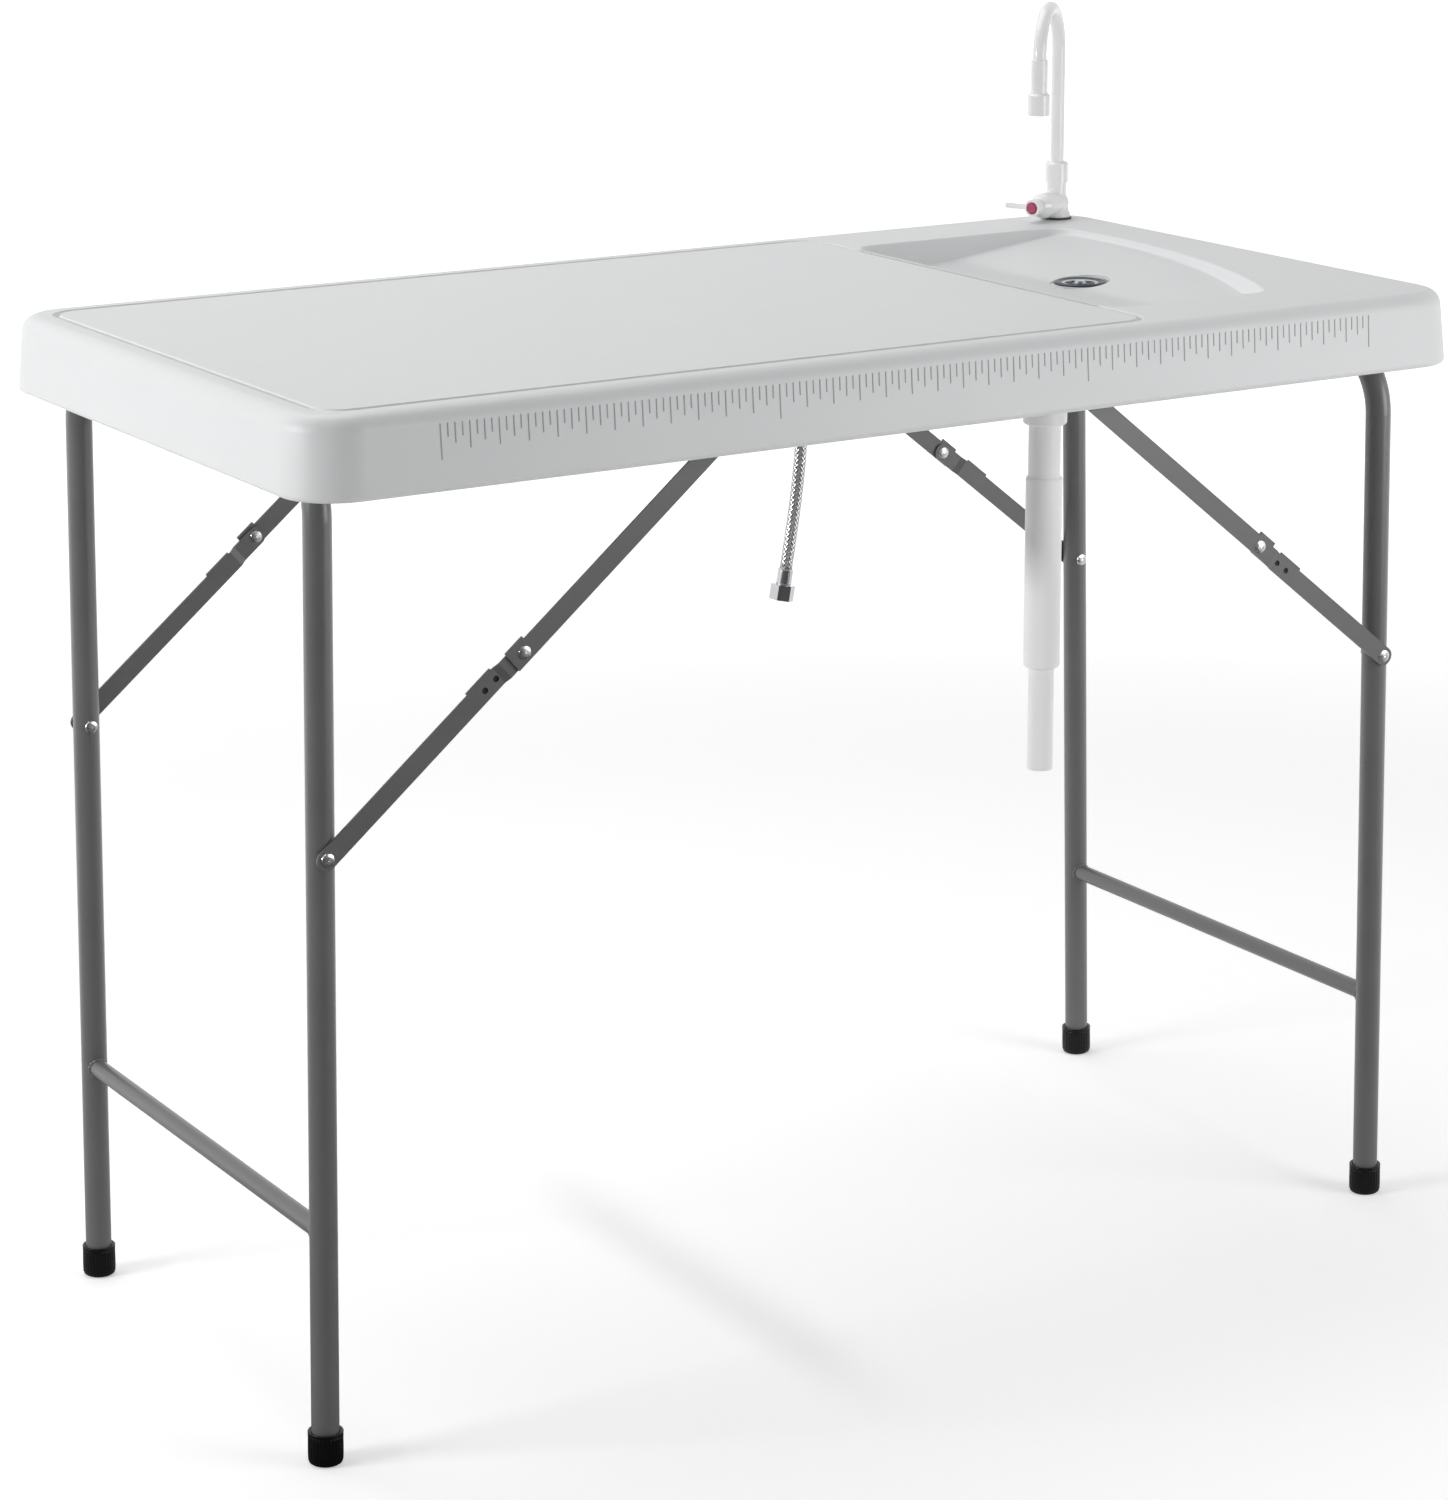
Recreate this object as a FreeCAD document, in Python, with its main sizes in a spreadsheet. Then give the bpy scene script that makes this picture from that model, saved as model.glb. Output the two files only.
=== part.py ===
import FreeCAD, Part
import math
import os
import re
import Sketcher

# Driving sizes in millimetres and degrees
SIZES = {
    # Table top, a blow-moulded panel with a skirt
    "table_length": 1143, "table_width": 604, "worktop_height": 875, "skirt_height": 65.5,
    "skirt_flare_angle": 4.4, "skirt_wall": 11, "panel_thickness": 16,
    "plan_corner_radius": 48, "top_edge_radius": 14, "skirt_lip_radius": 4, "cavity_edge_radius": 3,
    "cavity_corner_radius": 37,
    "groove_margin": 18, "groove_width": 7, "groove_depth": 2.4, "groove_corner_radius": 26,
    "cup_diameter": 30, "cup_depth": 9, "cup_pitch": 62, "cup_field_margin": 46,
    # Basin, its insets measured from the right end and the long sides of the table top
    "basin_left_inset": 323.5, "basin_back_inset": 77.5, "basin_front_inset": 155.5,
    "basin_side_inset": 93, "basin_side_bulge": 31, "basin_depth_left": 33, "basin_depth_right": 6,
    "basin_draft": 12, "basin_wall": 3.5, "basin_corner_radius": 26, "basin_floor_radius": 3.4,
    "basin_rim_radius": 2.2,
    # Drain, its drops measured from the worktop
    "waste_inset": 193.5, "drain_offset": 37.7, "drain_y": 18, "offset_drop": 69, "offset_fall": 32.3,
    "sump_radius": 28, "sump_step": 3, "sump_boss_radius": 34,
    "drain_tube_radius": 18.5, "drain_bore_radius": 16, "drain_flange_radius": 25,
    "drain_flange_thickness": 1.6, "drain_tube_drop": 127.3, "strainer_radius": 24.6,
    "strainer_thickness": 2.4, "strainer_bore_radius": 15.5, "strainer_spigot_length": 7,
    "strainer_plate_thickness": 1.6, "strainer_hub_radius": 6, "strainer_hub_height": 2.6,
    "strainer_slot_width": 3, "strainer_slot_count": 8, "strainer_slot_inner": 7.5,
    "strainer_slot_outer": 13.5, "drain_seal_radius": 27, "drain_seal_thickness": 2.5,
    "lock_nut_radius": 29, "lock_nut_height": 12,
    "coupling_radius": 20.6, "coupling_drop": 148.3, "coupling_height": 29, "coupling_lip": 3,
    "tailpiece_radius": 15.3, "tailpiece_wall": 1.6, "tailpiece_drop": 129.3, "tailpiece_length": 100,
    "sleeve_radius": 17.3, "sleeve_overlap": 30.6, "sleeve_length": 183.6, "sleeve_neck_height": 8,
    "sleeve_chamfer": 2, "end_tube_radius": 12.2, "end_tube_wall": 1.5, "end_tube_overlap": 33,
    "end_tube_length": 133.3, "end_tube_collar_radius": 15, "end_tube_collar_height": 6,
    # Leg frames of bent steel tube
    "leg_tube_diameter": 23, "leg_tube_wall": 1.2, "leg_bend_radius": 60, "leg_inset": 69.5,
    "pivot_inset": 42.8, "left_pivot_drop": 31, "right_pivot_drop": 58, "leg_splay_angle": 1.45,
    "crossbar_height": 200, "crossbar_diameter": 16, "crossbar_weld_gap": 0.05,
    "foot_radius": 14.6, "foot_height": 28, "foot_sole": 5, "foot_chamfer": 1.2, "foot_lip_radius": 14.9,
    # Saddles that hold the top tube of each leg frame
    "saddle_y": 130, "saddle_inward": 36, "saddle_width_y": 34, "saddle_cheek": 7, "saddle_floor": 2.5,
    "saddle_flange": 5, "saddle_screw_x": 24, "saddle_screw_y": 10, "screw_shank_radius": 2,
    "screw_shank_length": 15, "screw_head_radius": 4, "screw_head_height": 2.4,
    # Folding braces
    "left_brace_reach": 390.7, "right_brace_reach": 348.3, "left_rivet_drop": 359.6,
    "right_rivet_drop": 342.4,
    "link_thickness": 2, "link_width": 17, "link_end": 9, "plate_rise": 3, "plate_back": 7,
    "plate_front": 13, "joggle_start": 27, "joggle_end": 21, "joggle_step": 2.3,
    "link_hole_radius": 2.7, "link_hole_near": 30.5, "link_hole_far": 43.5, "link_hole_floor": 0.5,
    "lug_rise": 2, "lug_near": 29, "lug_far": 57, "end_round_share": 0.46,
    "rivet_radius": 3, "rivet_head_radius": 5.9, "rivet_head_height": 2,
    "bracket_width": 26, "bracket_flange": 24, "bracket_thickness": 2, "bracket_below_pivot": 10,
    "bracket_screw_x": 8, "bracket_screw_y": 13, "bracket_corner_radius": 6,
    # Faucet
    "faucet_inset": 46.5, "faucet_setback": 43, "gasket_radius": 15.3, "gasket_thickness": 1.6,
    "faucet_base_radius": 14.6, "faucet_base_height": 5, "faucet_column_radius": 9.8,
    "faucet_column_height": 46.8, "faucet_bore_radius": 5, "shank_radius": 10,
    "shank_length": 42, "valve_height": 15, "valve_radius": 12.6, "valve_face": 36, "valve_angle": 202,
    "valve_cone_length": 9, "stem_radius": 3, "stem_depth": 14, "lever_hub_radius": 8.4,
    "lever_hub_length": 9, "lever_length": 33, "lever_width": 5, "lever_thickness": 3.2,
    "lever_cap_radius": 6, "lever_cap_height": 1.4, "collar_radius": 11.3, "collar_height": 20,
    "collar_lip": 3, "spout_radius": 6.7, "spout_wall": 1.5, "spout_reach": 90, "spout_bend_height": 165.2,
    "spout_socket_depth": 14, "spout_arm_radius": 8.2, "spout_arm_length": 37.5, "spout_angle": 222.2,
    "spout_seat_radius": 8.6, "spout_seat_height": 4,
    "aerator_radius": 10.7, "aerator_height": 21.5, "aerator_overlap": 6, "aerator_bore_radius": 6,
    "shank_washer_radius": 15, "shank_washer_thickness": 2, "mount_nut_radius": 15.5,
    "mount_nut_height": 9,
    # Supply hose
    "hose_diameter": 12.4, "hose_nut_radius": 12, "inlet_nut_radius": 14, "hose_nut_height": 15,
    "hose_nut_floor": 3.5, "hose_tail_radius": 6.9, "ferrule_radius": 7.6, "ferrule_length": 16,
    "hose_thread_radius": 9.2, "nut_relief_radius": 9.7, "hose_seal_thickness": 2, "ferrule_flange": 1.75,
    "peg_radius": 5, "peg_length": 40.5, "peg_inset": 286, "peg_drop": 58.7,
    # Clearances and fits
    "running_clearance": 0.08, "side_gap": 0.3, "press_gap": 0.05, "fit_gap": 0.05, "cut_overrun": 10,
    "along_tolerance": 12, "downward_share": 0.5, "hex_flats": 6, "lock_nut_flats": 8,
    # Shares of a piece's own size at which its outline turns
    "dome_inner_share": 0.55, "dome_crown_share": 0.92, "dome_outer_share": 0.9, "dome_shoulder_share": 0.55,
    "strainer_dish_share": 0.3, "hub_top_share": 0.8, "collar_skirt_share": 0.6, "collar_side_share": 0.3,
    "collar_top_share": 0.4, "base_rim_share": 0.4, "base_slope_share": 0.2, "base_flare_share": 2.4,
    "aerator_edge_share": 0.1, "cap_top_share": 0.8, "ferrule_edge_share": 0.1, "ferrule_waist_share": 0.9,
    "ferrule_bore_share": 0.5, "hose_round_share": 0.45, "full_turn": 360, "half_turn": 180,
    "quarter_turn": 90,
}

# Places that follow from the driving sizes, as expressions in the sheet's words
PLACES = {
    "basin_left": "(table_length / 2 - basin_left_inset)",
    "basin_back_right": "(table_length / 2 - basin_back_inset)",
    "basin_front_right": "(table_length / 2 - basin_front_inset)",
    "basin_half_width": "(table_width / 2 - basin_side_inset)",
    "waste_x": "(table_length / 2 - waste_inset)",
    "drain_x": "(waste_x - drain_offset)",
    "offset_top": "(worktop_height - offset_drop)",
    "offset_bottom": "(offset_top - offset_fall)",
    "drain_tube_bottom": "(worktop_height - drain_tube_drop)",
    "coupling_bottom": "(worktop_height - coupling_drop)",
    "tailpiece_top": "(worktop_height - tailpiece_drop)",
    "tailpiece_bottom": "(tailpiece_top - tailpiece_length)",
    "sleeve_top": "(tailpiece_bottom + sleeve_overlap)",
    "sleeve_bottom": "(sleeve_top - sleeve_length)",
    "end_tube_top": "(sleeve_bottom + end_tube_overlap)",
    "end_tube_bottom": "(end_tube_top - end_tube_length)",
    "leg_plane_y": "(table_width / 2 - leg_inset)",
    "pivot_x": "(table_length / 2 - pivot_inset)",
    "brace_top_x_left": "(pivot_x - left_brace_reach)",
    "brace_top_x_right": "(pivot_x - right_brace_reach)",
    "left_rivet_height": "(worktop_height - left_rivet_drop)",
    "right_rivet_height": "(worktop_height - right_rivet_drop)",
    "faucet_x": "(table_length / 2 - faucet_inset)",
    "faucet_y": "(table_width / 2 - faucet_setback)",
    "peg_x": "(table_length / 2 - peg_inset)",
    "peg_y": "(table_width / 2 - skirt_wall / 2 - peg_length)",
    "peg_z": "(worktop_height - peg_drop)",
}

os.makedirs("parts", exist_ok=True)
doc = FreeCAD.newDocument("sink_stand")
sheet = doc.addObject("Spreadsheet::Sheet", "Sizes")
for row, (name, value) in enumerate(SIZES.items(), start=1):
    sheet.set("A%d" % row, name)
    sheet.set("B%d" % row, str(value))
    sheet.setAlias("B%d" % row, name)
doc.recompute()

Vector = FreeCAD.Vector
ACROSS = Vector(0, 1, 0)
ALONG = Vector(1, 0, 0)
UP = Vector(0, 0, 1)
WORD = re.compile(r"[a-z][a-z_]*")
labels = []


def cell(word):
    """The cell that a size's word stands for, or the expression that a place's word stands for."""
    name = word.group()
    if name in PLACES:
        return bound(PLACES[name])
    return "Sizes." + name if name in SIZES else name


def bound(text):
    """An expression in the sheet's words, each word pointing at its cell."""
    return WORD.sub(cell, text)


def size(text):
    """The present value of an expression in the sheet's words."""
    return float(sheet.evalExpression(bound(text)))


def bind(thing, **expressions):
    for prop, text in expressions.items():
        thing.setExpression(prop, bound(text))
    return thing


def name_part(thing, label):
    thing.Label = label
    labels.append(label)
    return thing


def new_body(label):
    return doc.addObject("PartDesign::Body", label + "_body")


def part_body(label):
    body = new_body(label)
    return name_part(body, label)


def origin_plane(body, role):
    return next(item for item in body.Origin.OriginFeatures if item.Role == role)


def new_sketch(body, role, height="0"):
    sketch = body.newObject("Sketcher::SketchObject", body.Name + "_sketch")
    sketch.AttachmentSupport = (origin_plane(body, role), [""])
    sketch.MapMode = "FlatFace"
    if height != "0":
        sketch.setExpression("AttachmentOffset.Base.z", bound(height))
    return sketch


def add_outline(sketch, points):
    """A closed outline whose corners are expressions in the sheet's words."""
    first = sketch.GeometryCount
    places = [(size(u), size(v)) for u, v in points]
    count = len(points)
    for index, (u, v) in enumerate(places):
        end = places[(index + 1) % count]
        sketch.addGeometry(Part.LineSegment(Vector(u, v, 0), Vector(end[0], end[1], 0)), False)
    for index in range(count):
        following = first + (index + 1) % count
        sketch.addConstraint(Sketcher.Constraint("Coincident", first + index, 2, following, 1))
    for index, (u, v) in enumerate(points):
        for kind, text, place in (("DistanceX", u, places[index][0]), ("DistanceY", v, places[index][1])):
            if text == "0":
                axis = -2 if kind == "DistanceX" else -1
                sketch.addConstraint(Sketcher.Constraint("PointOnObject", first + index, 1, axis))
                continue
            number = sketch.addConstraint(Sketcher.Constraint(kind, -1, 1, first + index, 1, place))
            sketch.setExpression("Constraints[%d]" % number, bound(text))
    return sketch


def add_circle(sketch, u, v, radius):
    """A circle whose centre and radius are expressions in the sheet's words."""
    place = Vector(size(u), size(v), 0)
    index = sketch.addGeometry(Part.Circle(place, Vector(0, 0, 1), size(radius)), False)
    for kind, text, value, axis in (("DistanceX", u, place.x, -2), ("DistanceY", v, place.y, -1)):
        if text == "0":
            sketch.addConstraint(Sketcher.Constraint("PointOnObject", index, 3, axis))
            continue
        number = sketch.addConstraint(Sketcher.Constraint(kind, -1, 1, index, 3, value))
        sketch.setExpression("Constraints[%d]" % number, bound(text))
    number = sketch.addConstraint(Sketcher.Constraint("Radius", index, size(radius)))
    sketch.setExpression("Constraints[%d]" % number, bound(radius))
    return sketch


def pad(body, sketch, length, middle=False):
    feature = body.newObject("PartDesign::Pad", body.Name + "_pad")
    feature.Profile = sketch
    feature.Midplane = middle
    bind(feature, Length=length)
    doc.recompute()
    return feature


def pocket_through(body, sketch):
    """A cut right through the body, both ways from the sketch."""
    before = body.Shape.Volume
    feature = body.newObject("PartDesign::Pocket", body.Name + "_pocket")
    feature.Profile = sketch
    feature.Type = "ThroughAll"
    feature.Midplane = True
    doc.recompute()
    assert body.Shape.Volume < before, body.Label
    return feature


def pocket_down(body, sketch, depth, reverse=False):
    """A cut of a set depth on one side of the sketch."""
    before = body.Shape.Volume
    feature = body.newObject("PartDesign::Pocket", body.Name + "_pocket")
    feature.Profile = sketch
    feature.Reversed = reverse
    bind(feature, Length=depth)
    doc.recompute()
    assert body.Shape.Volume < before, body.Label
    return feature


def revolve(body, points):
    """A turned piece: the outline is radius and height, turned about Z."""
    sketch = add_outline(new_sketch(body, "XZ_Plane"), points)
    feature = body.newObject("PartDesign::Revolution", body.Name + "_turn")
    feature.Profile = sketch
    feature.ReferenceAxis = (sketch, ["V_Axis"])
    bind(feature, Angle="full_turn")
    doc.recompute()
    return feature


def fillet(body, radius, test):
    """Rounds the edges of a body that the test picks."""
    base = body.Tip
    picked = ["Edge%d" % number for number, edge in enumerate(base.Shape.Edges, start=1) if test(edge)]
    feature = body.newObject("PartDesign::Fillet", body.Name + "_round")
    feature.Base = (base, picked)
    bind(feature, Radius=radius)
    doc.recompute()
    return feature


def middle(edge):
    return edge.valueAt((edge.FirstParameter + edge.LastParameter) / 2)


def runs_along(edge, direction):
    """True for a straight edge that lies along a direction, or near it."""
    ends = [vertex.Point for vertex in edge.Vertexes]
    if len(ends) < 2:
        return False
    line = ends[1] - ends[0]
    nearest = math.cos(math.radians(size("along_tolerance")))
    return line.Length > 0 and abs(line.normalize().dot(direction)) > nearest


def placed(thing, x, y, z, turn=None):
    thing.Placement = FreeCAD.Placement(Vector(x, y, z), turn or FreeCAD.Rotation())
    return thing


def boolean(kind, label, base, tool, final=False):
    feature = doc.addObject("Part::" + kind, label + "_" + kind.lower())
    feature.Base = base
    feature.Tool = tool
    if final:
        name_part(feature, label)
    doc.recompute()
    return feature


def fuse_all(name, things):
    feature = doc.addObject("Part::MultiFuse", name)
    feature.Shapes = things
    feature.Refine = True
    doc.recompute()
    return feature


def group(label, things):
    """Several like pieces as one node of separate solids."""
    feature = doc.addObject("Part::Compound", label + "_group")
    feature.Links = things
    return name_part(feature, label)


def cylinder(name, radius, height, place, turn=None):
    feature = doc.addObject("Part::Cylinder", name)
    bind(feature, Radius=radius, Height=height)
    feature.Placement = FreeCAD.Placement(place, turn or FreeCAD.Rotation())
    return feature


def box(name, length, width, height, place):
    feature = doc.addObject("Part::Box", name)
    bind(feature, Length=length, Width=width, Height=height)
    feature.Placement = FreeCAD.Placement(place, FreeCAD.Rotation())
    return feature


SKIRT_BOTTOM = "(worktop_height - skirt_height)"
UNDERSIDE = "(worktop_height - panel_thickness)"
SIDES = {"left": -1, "right": 1}
ENDS = {"front": -1, "back": 1}
TIP_ACROSS = FreeCAD.Rotation(ALONG, -size("quarter_turn"))
TURN_ROUND = FreeCAD.Rotation(UP, size("half_turn"))


# Table top: panel, skirt and the hollow under them
def floor_slope():
    """Rise of the basin's floor over its length, from the left end to the right."""
    return (size("basin_depth_left") - size("basin_depth_right")) / size("basin_back_right - basin_left")


def floor_height(x):
    """Height of the basin's sloping floor at a place along the table."""
    return size("worktop_height - basin_depth_left") + floor_slope() * (x - size("basin_left"))


def basin_outline(grow, height):
    """The basin in plan: straight left, back and front, a bowed right side and rounded corners."""
    left = size("basin_left") - grow
    side = size("basin_half_width") + grow
    back_right = size("basin_back_right") + grow
    front_right = size("basin_front_right") + grow
    bow = (back_right + front_right) / 2 + size("basin_side_bulge")
    points = [Vector(left, side, height), Vector(back_right, side, height),
              Vector(front_right, -side, height), Vector(left, -side, height)]
    edges = [Part.LineSegment(points[0], points[1]).toShape(),
             Part.Arc(points[1], Vector(bow, 0, height), points[2]).toShape(),
             Part.LineSegment(points[2], points[3]).toShape(),
             Part.LineSegment(points[3], points[0]).toShape()]
    block = Part.Face(Part.Wire(edges)).extrude(UP)
    upright = [edge for edge in block.Edges if runs_along(edge, UP)]
    block = block.makeFillet(size("basin_corner_radius") + grow, upright)
    return min(block.Faces, key=lambda face: face.CenterOfMass.z).OuterWire


def basin_solid(grow):
    """The basin's form, as its hollow or as the outside of its wall."""
    top = basin_outline(grow, size("worktop_height"))
    foot = basin_outline(grow - size("basin_draft"), size("worktop_height - basin_depth_left") - grow)
    solid = Part.makeLoft([foot, top], True, True)
    length = size("table_length")
    below = Part.makeBox(length, size("table_width"), size("worktop_height"),
                         Vector(0, -size("table_width / 2"), -size("worktop_height")))
    below.rotate(Vector(), ACROSS, -math.degrees(math.atan(floor_slope())))
    below.translate(Vector(0, 0, floor_height(0) - grow))
    solid = solid.cut(below)
    near = size("fit_gap")
    low = [edge for edge in solid.Edges
           if all(abs(vertex.Z - floor_height(vertex.X) + grow) < near for vertex in edge.Vertexes)]
    return solid.makeFillet(size("basin_floor_radius") + grow, low)


def shape_feature(name, shape):
    feature = doc.addObject("Part::Feature", name)
    feature.Shape = shape
    return feature


def tapered_block(name, half_x, half_y, low, height):
    """A block whose sides lean in towards the top by the skirt's flare."""
    body = new_body(name)
    sketch = new_sketch(body, "XY_Plane", low)
    add_outline(sketch, [("-" + half_x, "-" + half_y), (half_x, "-" + half_y),
                         (half_x, half_y), ("-" + half_x, half_y)])
    block = pad(body, sketch, height)
    bind(block, TaperAngle="-skirt_flare_angle")
    doc.recompute()
    return body


def make_shell():
    """Panel and skirt in one, hollow below."""
    shell = tapered_block("tabletop_shell", "table_length / 2", "table_width / 2", SKIRT_BOTTOM,
                          "skirt_height")
    top = size("worktop_height")
    bottom = size(SKIRT_BOTTOM)
    near = size("fit_gap")
    fillet(shell, "plan_corner_radius", lambda edge: runs_along(edge, UP))
    fillet(shell, "top_edge_radius", lambda edge: abs(middle(edge).z - top) < near)
    fillet(shell, "skirt_lip_radius", lambda edge: abs(middle(edge).z - bottom) < near)
    cavity = tapered_block("tabletop_cavity", "(table_length / 2 - skirt_wall)",
                           "(table_width / 2 - skirt_wall)", SKIRT_BOTTOM, "skirt_height - panel_thickness")
    ceiling = size(UNDERSIDE)
    fillet(cavity, "cavity_corner_radius", lambda edge: runs_along(edge, UP))
    fillet(cavity, "cavity_edge_radius", lambda edge: abs(middle(edge).z - ceiling) < near)
    return boolean("Cut", "tabletop_shell", shell, cavity)


def make_tabletop(shell):
    """Cuts the basin's opening, the cups below, the groove and the holes, and adds the hose rest."""
    peg = cylinder("hose_peg", "peg_radius", "peg_length",
                   Vector(size("peg_x"), size("peg_y"), size("peg_z")), TIP_ACROSS)
    solid = fuse_all("tabletop_with_peg", [shell, peg])
    tools = [shape_feature("basin_place", basin_solid(size("basin_wall")))]
    tools.append(cylinder("faucet_hole", "shank_radius + press_gap", "worktop_height + cut_overrun",
                          Vector(size("faucet_x"), size("faucet_y"), 0)))
    tools.append(groove_ring())
    tools += screw_pilots()
    tools += underside_cups()
    cutter = fuse_all("tabletop_cutters", tools)
    return boolean("Cut", "tabletop", solid, cutter, True)


def make_basin():
    """The sink, moulded in one with the top: sloping floor, drafted walls and a step for the drain."""
    outer = shape_feature("basin_wall_form", basin_solid(size("basin_wall")))
    floor = floor_height(size("waste_x"))
    boss = cylinder("sump_boss", "sump_boss_radius", "sump_step + 2 * basin_wall",
                    Vector(size("waste_x"), size("drain_y"), floor - size("sump_step + 2 * basin_wall")))
    solid = fuse_all("basin_with_boss", [outer, boss])
    tools = [shape_feature("basin_hollow", basin_solid(0))]
    tools.append(cylinder("sump", "sump_radius", "basin_depth_left",
                          Vector(size("waste_x"), size("drain_y"), floor - size("sump_step"))))
    tools.append(cylinder("drain_hole", "drain_tube_radius + press_gap", "worktop_height",
                          Vector(size("waste_x"), size("drain_y"), 0)))
    cut = boolean("Cut", "basin_cut", solid, fuse_all("basin_cutters", tools))
    return round_rim(cut)


def round_rim(cut):
    """Rounds the upper inner edge of the basin."""
    top = size("worktop_height")
    near = size("fit_gap")
    face = next(face for face in cut.Shape.Faces
                if abs(face.BoundBox.ZMin - top) < near and abs(face.BoundBox.ZMax - top) < near)
    inner = min(face.Wires, key=lambda wire: wire.Length)
    rim = [number for number, edge in enumerate(cut.Shape.Edges, start=1)
           if any(edge.isSame(other) for other in inner.Edges)]
    radius = size("basin_rim_radius")
    feature = doc.addObject("Part::Fillet", "basin_rim")
    feature.Base = cut
    feature.Edges = [(number, radius, radius) for number in rim]
    doc.recompute()
    return name_part(feature, "sink_basin")


def rounded_plate(name, left, right, side, low, high, radius):
    """A block with rounded plan corners, between two heights."""
    plate = Part.makeBox(right - left, 2 * side, high - low, Vector(left, -side, low))
    upright = [edge for edge in plate.Edges if runs_along(edge, UP)]
    return plate.makeFillet(radius, upright)


def groove_ring():
    """The shallow round-bottomed groove that frames the cutting area."""
    half = size("groove_width / 2")
    depth = size("groove_depth")
    radius = (half * half + depth * depth) / (2 * depth)
    left = -size("table_length / 2 - top_edge_radius - groove_margin")
    right = size("basin_left - basin_rim_radius") - half
    side = size("table_width / 2 - top_edge_radius - groove_margin")
    height = size("worktop_height - groove_depth") + radius
    plate = rounded_plate("groove", left, right, side, height, height + half, size("groove_corner_radius"))
    rim = next(face for face in plate.Faces if face.normalAt(0, 0).z < -size("downward_share"))
    path = rim.OuterWire
    start = path.Edges[0].valueAt(path.Edges[0].FirstParameter)
    along = path.Edges[0].tangentAt(path.Edges[0].FirstParameter)
    ring = Part.Wire([Part.Circle(start, along, radius).toShape()])
    return shape_feature("groove_form", path.makePipeShell([ring], True, False))


def underside_cups():
    """Rows of round cups that stiffen the panel from below, clear of basin, saddles and brackets."""
    pitch = size("cup_pitch")
    radius = size("cup_diameter / 2")
    reach_x = size("pivot_x - saddle_inward - cup_diameter / 2")
    reach_y = size("leg_plane_y - cup_field_margin")
    cups = []
    columns = int(2 * reach_x / pitch)
    rows = int(2 * reach_y / pitch)
    for column in range(columns + 1):
        for row in range(rows + 1):
            x = (column - columns / 2) * pitch
            y = (row - rows / 2) * pitch
            if x > size("basin_left - basin_wall") - pitch / 2:
                continue
            cups.append(Part.makeCone(radius, radius / 2, size("cup_depth"), Vector(x, y, size(UNDERSIDE))))
    return [shape_feature("underside_cups", Part.makeCompound(cups))]


def saddle_places():
    for side, sign in SIDES.items():
        for end in ENDS.values():
            yield side, sign * size("pivot_x"), end * size("saddle_y")


def bracket_places():
    for side, sign in SIDES.items():
        for end in ENDS.values():
            yield side, sign * size("brace_top_x_" + side), end


def screw_places():
    """Each screw's place in plan and the height that its head bears on."""
    for side, x, y in saddle_places():
        inward = -SIDES[side] * size("saddle_screw_x")
        for step in (-1, 1):
            across = y + step * size("saddle_screw_y")
            yield "saddle", x + inward, across, size(UNDERSIDE + " - saddle_flange")
    for side, x, end in bracket_places():
        for step in (-1, 1):
            y = end * (bracket_face() + size("bracket_screw_y"))
            yield "bracket", x + step * size("bracket_screw_x"), y, size(UNDERSIDE + " - bracket_thickness")


def screw_pilots():
    """Pilot holes in the underside for the screws' shanks."""
    pilots = []
    for number, (kind, x, y, seat) in enumerate(screw_places()):
        pilots.append(cylinder("pilot_%d" % number, "screw_shank_radius + fit_gap",
                               "screw_shank_length + fit_gap", Vector(x, y, seat)))
    return pilots


# Places of the braces across the table, measured from the middle to the outside
def lower_link_face():
    return size("leg_plane_y + leg_tube_diameter / 2 + side_gap")


def upper_link_face():
    return lower_link_face() + size("joggle_step + link_thickness + side_gap")


def bracket_face():
    return upper_link_face() + size("link_thickness + side_gap")


def pivot_height(side):
    return size("worktop_height - %s_pivot_drop" % side)


def leg_x(side, height):
    """How far out a leg's centre line is at a height, with the legs open."""
    return size("pivot_x") + (pivot_height(side) - height) * math.tan(math.radians(size("leg_splay_angle")))


def brace_lengths(side):
    """Lengths of the two links, so that they lie straight when open and flat when folded."""
    high = pivot_height(side)
    low = size(side + "_rivet_height")
    outer = leg_x(side, low)
    inner = size("brace_top_x_" + side)
    straight = math.hypot(outer - inner, high - low)
    arm = math.hypot(outer - size("pivot_x"), high - low)
    spare = size("pivot_x") - inner - arm
    return (straight + spare) / 2, (straight - spare) / 2


def brace_slope(side):
    """Angle of the open brace above the floor."""
    high = pivot_height(side)
    low = size(side + "_rivet_height")
    return math.degrees(math.atan2(high - low, leg_x(side, low) - size("brace_top_x_" + side)))


# Leg frames
def frame_turn(side):
    return FreeCAD.Rotation(ACROSS, -SIDES[side] * size("leg_splay_angle"))


def leg_reach(side):
    """Length from the pivot to the floor along the leg."""
    return pivot_height(side) / math.cos(math.radians(size("leg_splay_angle")))


def frame_place(side, along=0, across=0):
    """A place on the open leg frame, at a distance down the leg and across the table."""
    angle = math.radians(size("leg_splay_angle"))
    x = SIDES[side] * (size("pivot_x") + along * math.sin(angle))
    return Vector(x, across, pivot_height(side) - along * math.cos(angle))


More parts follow.
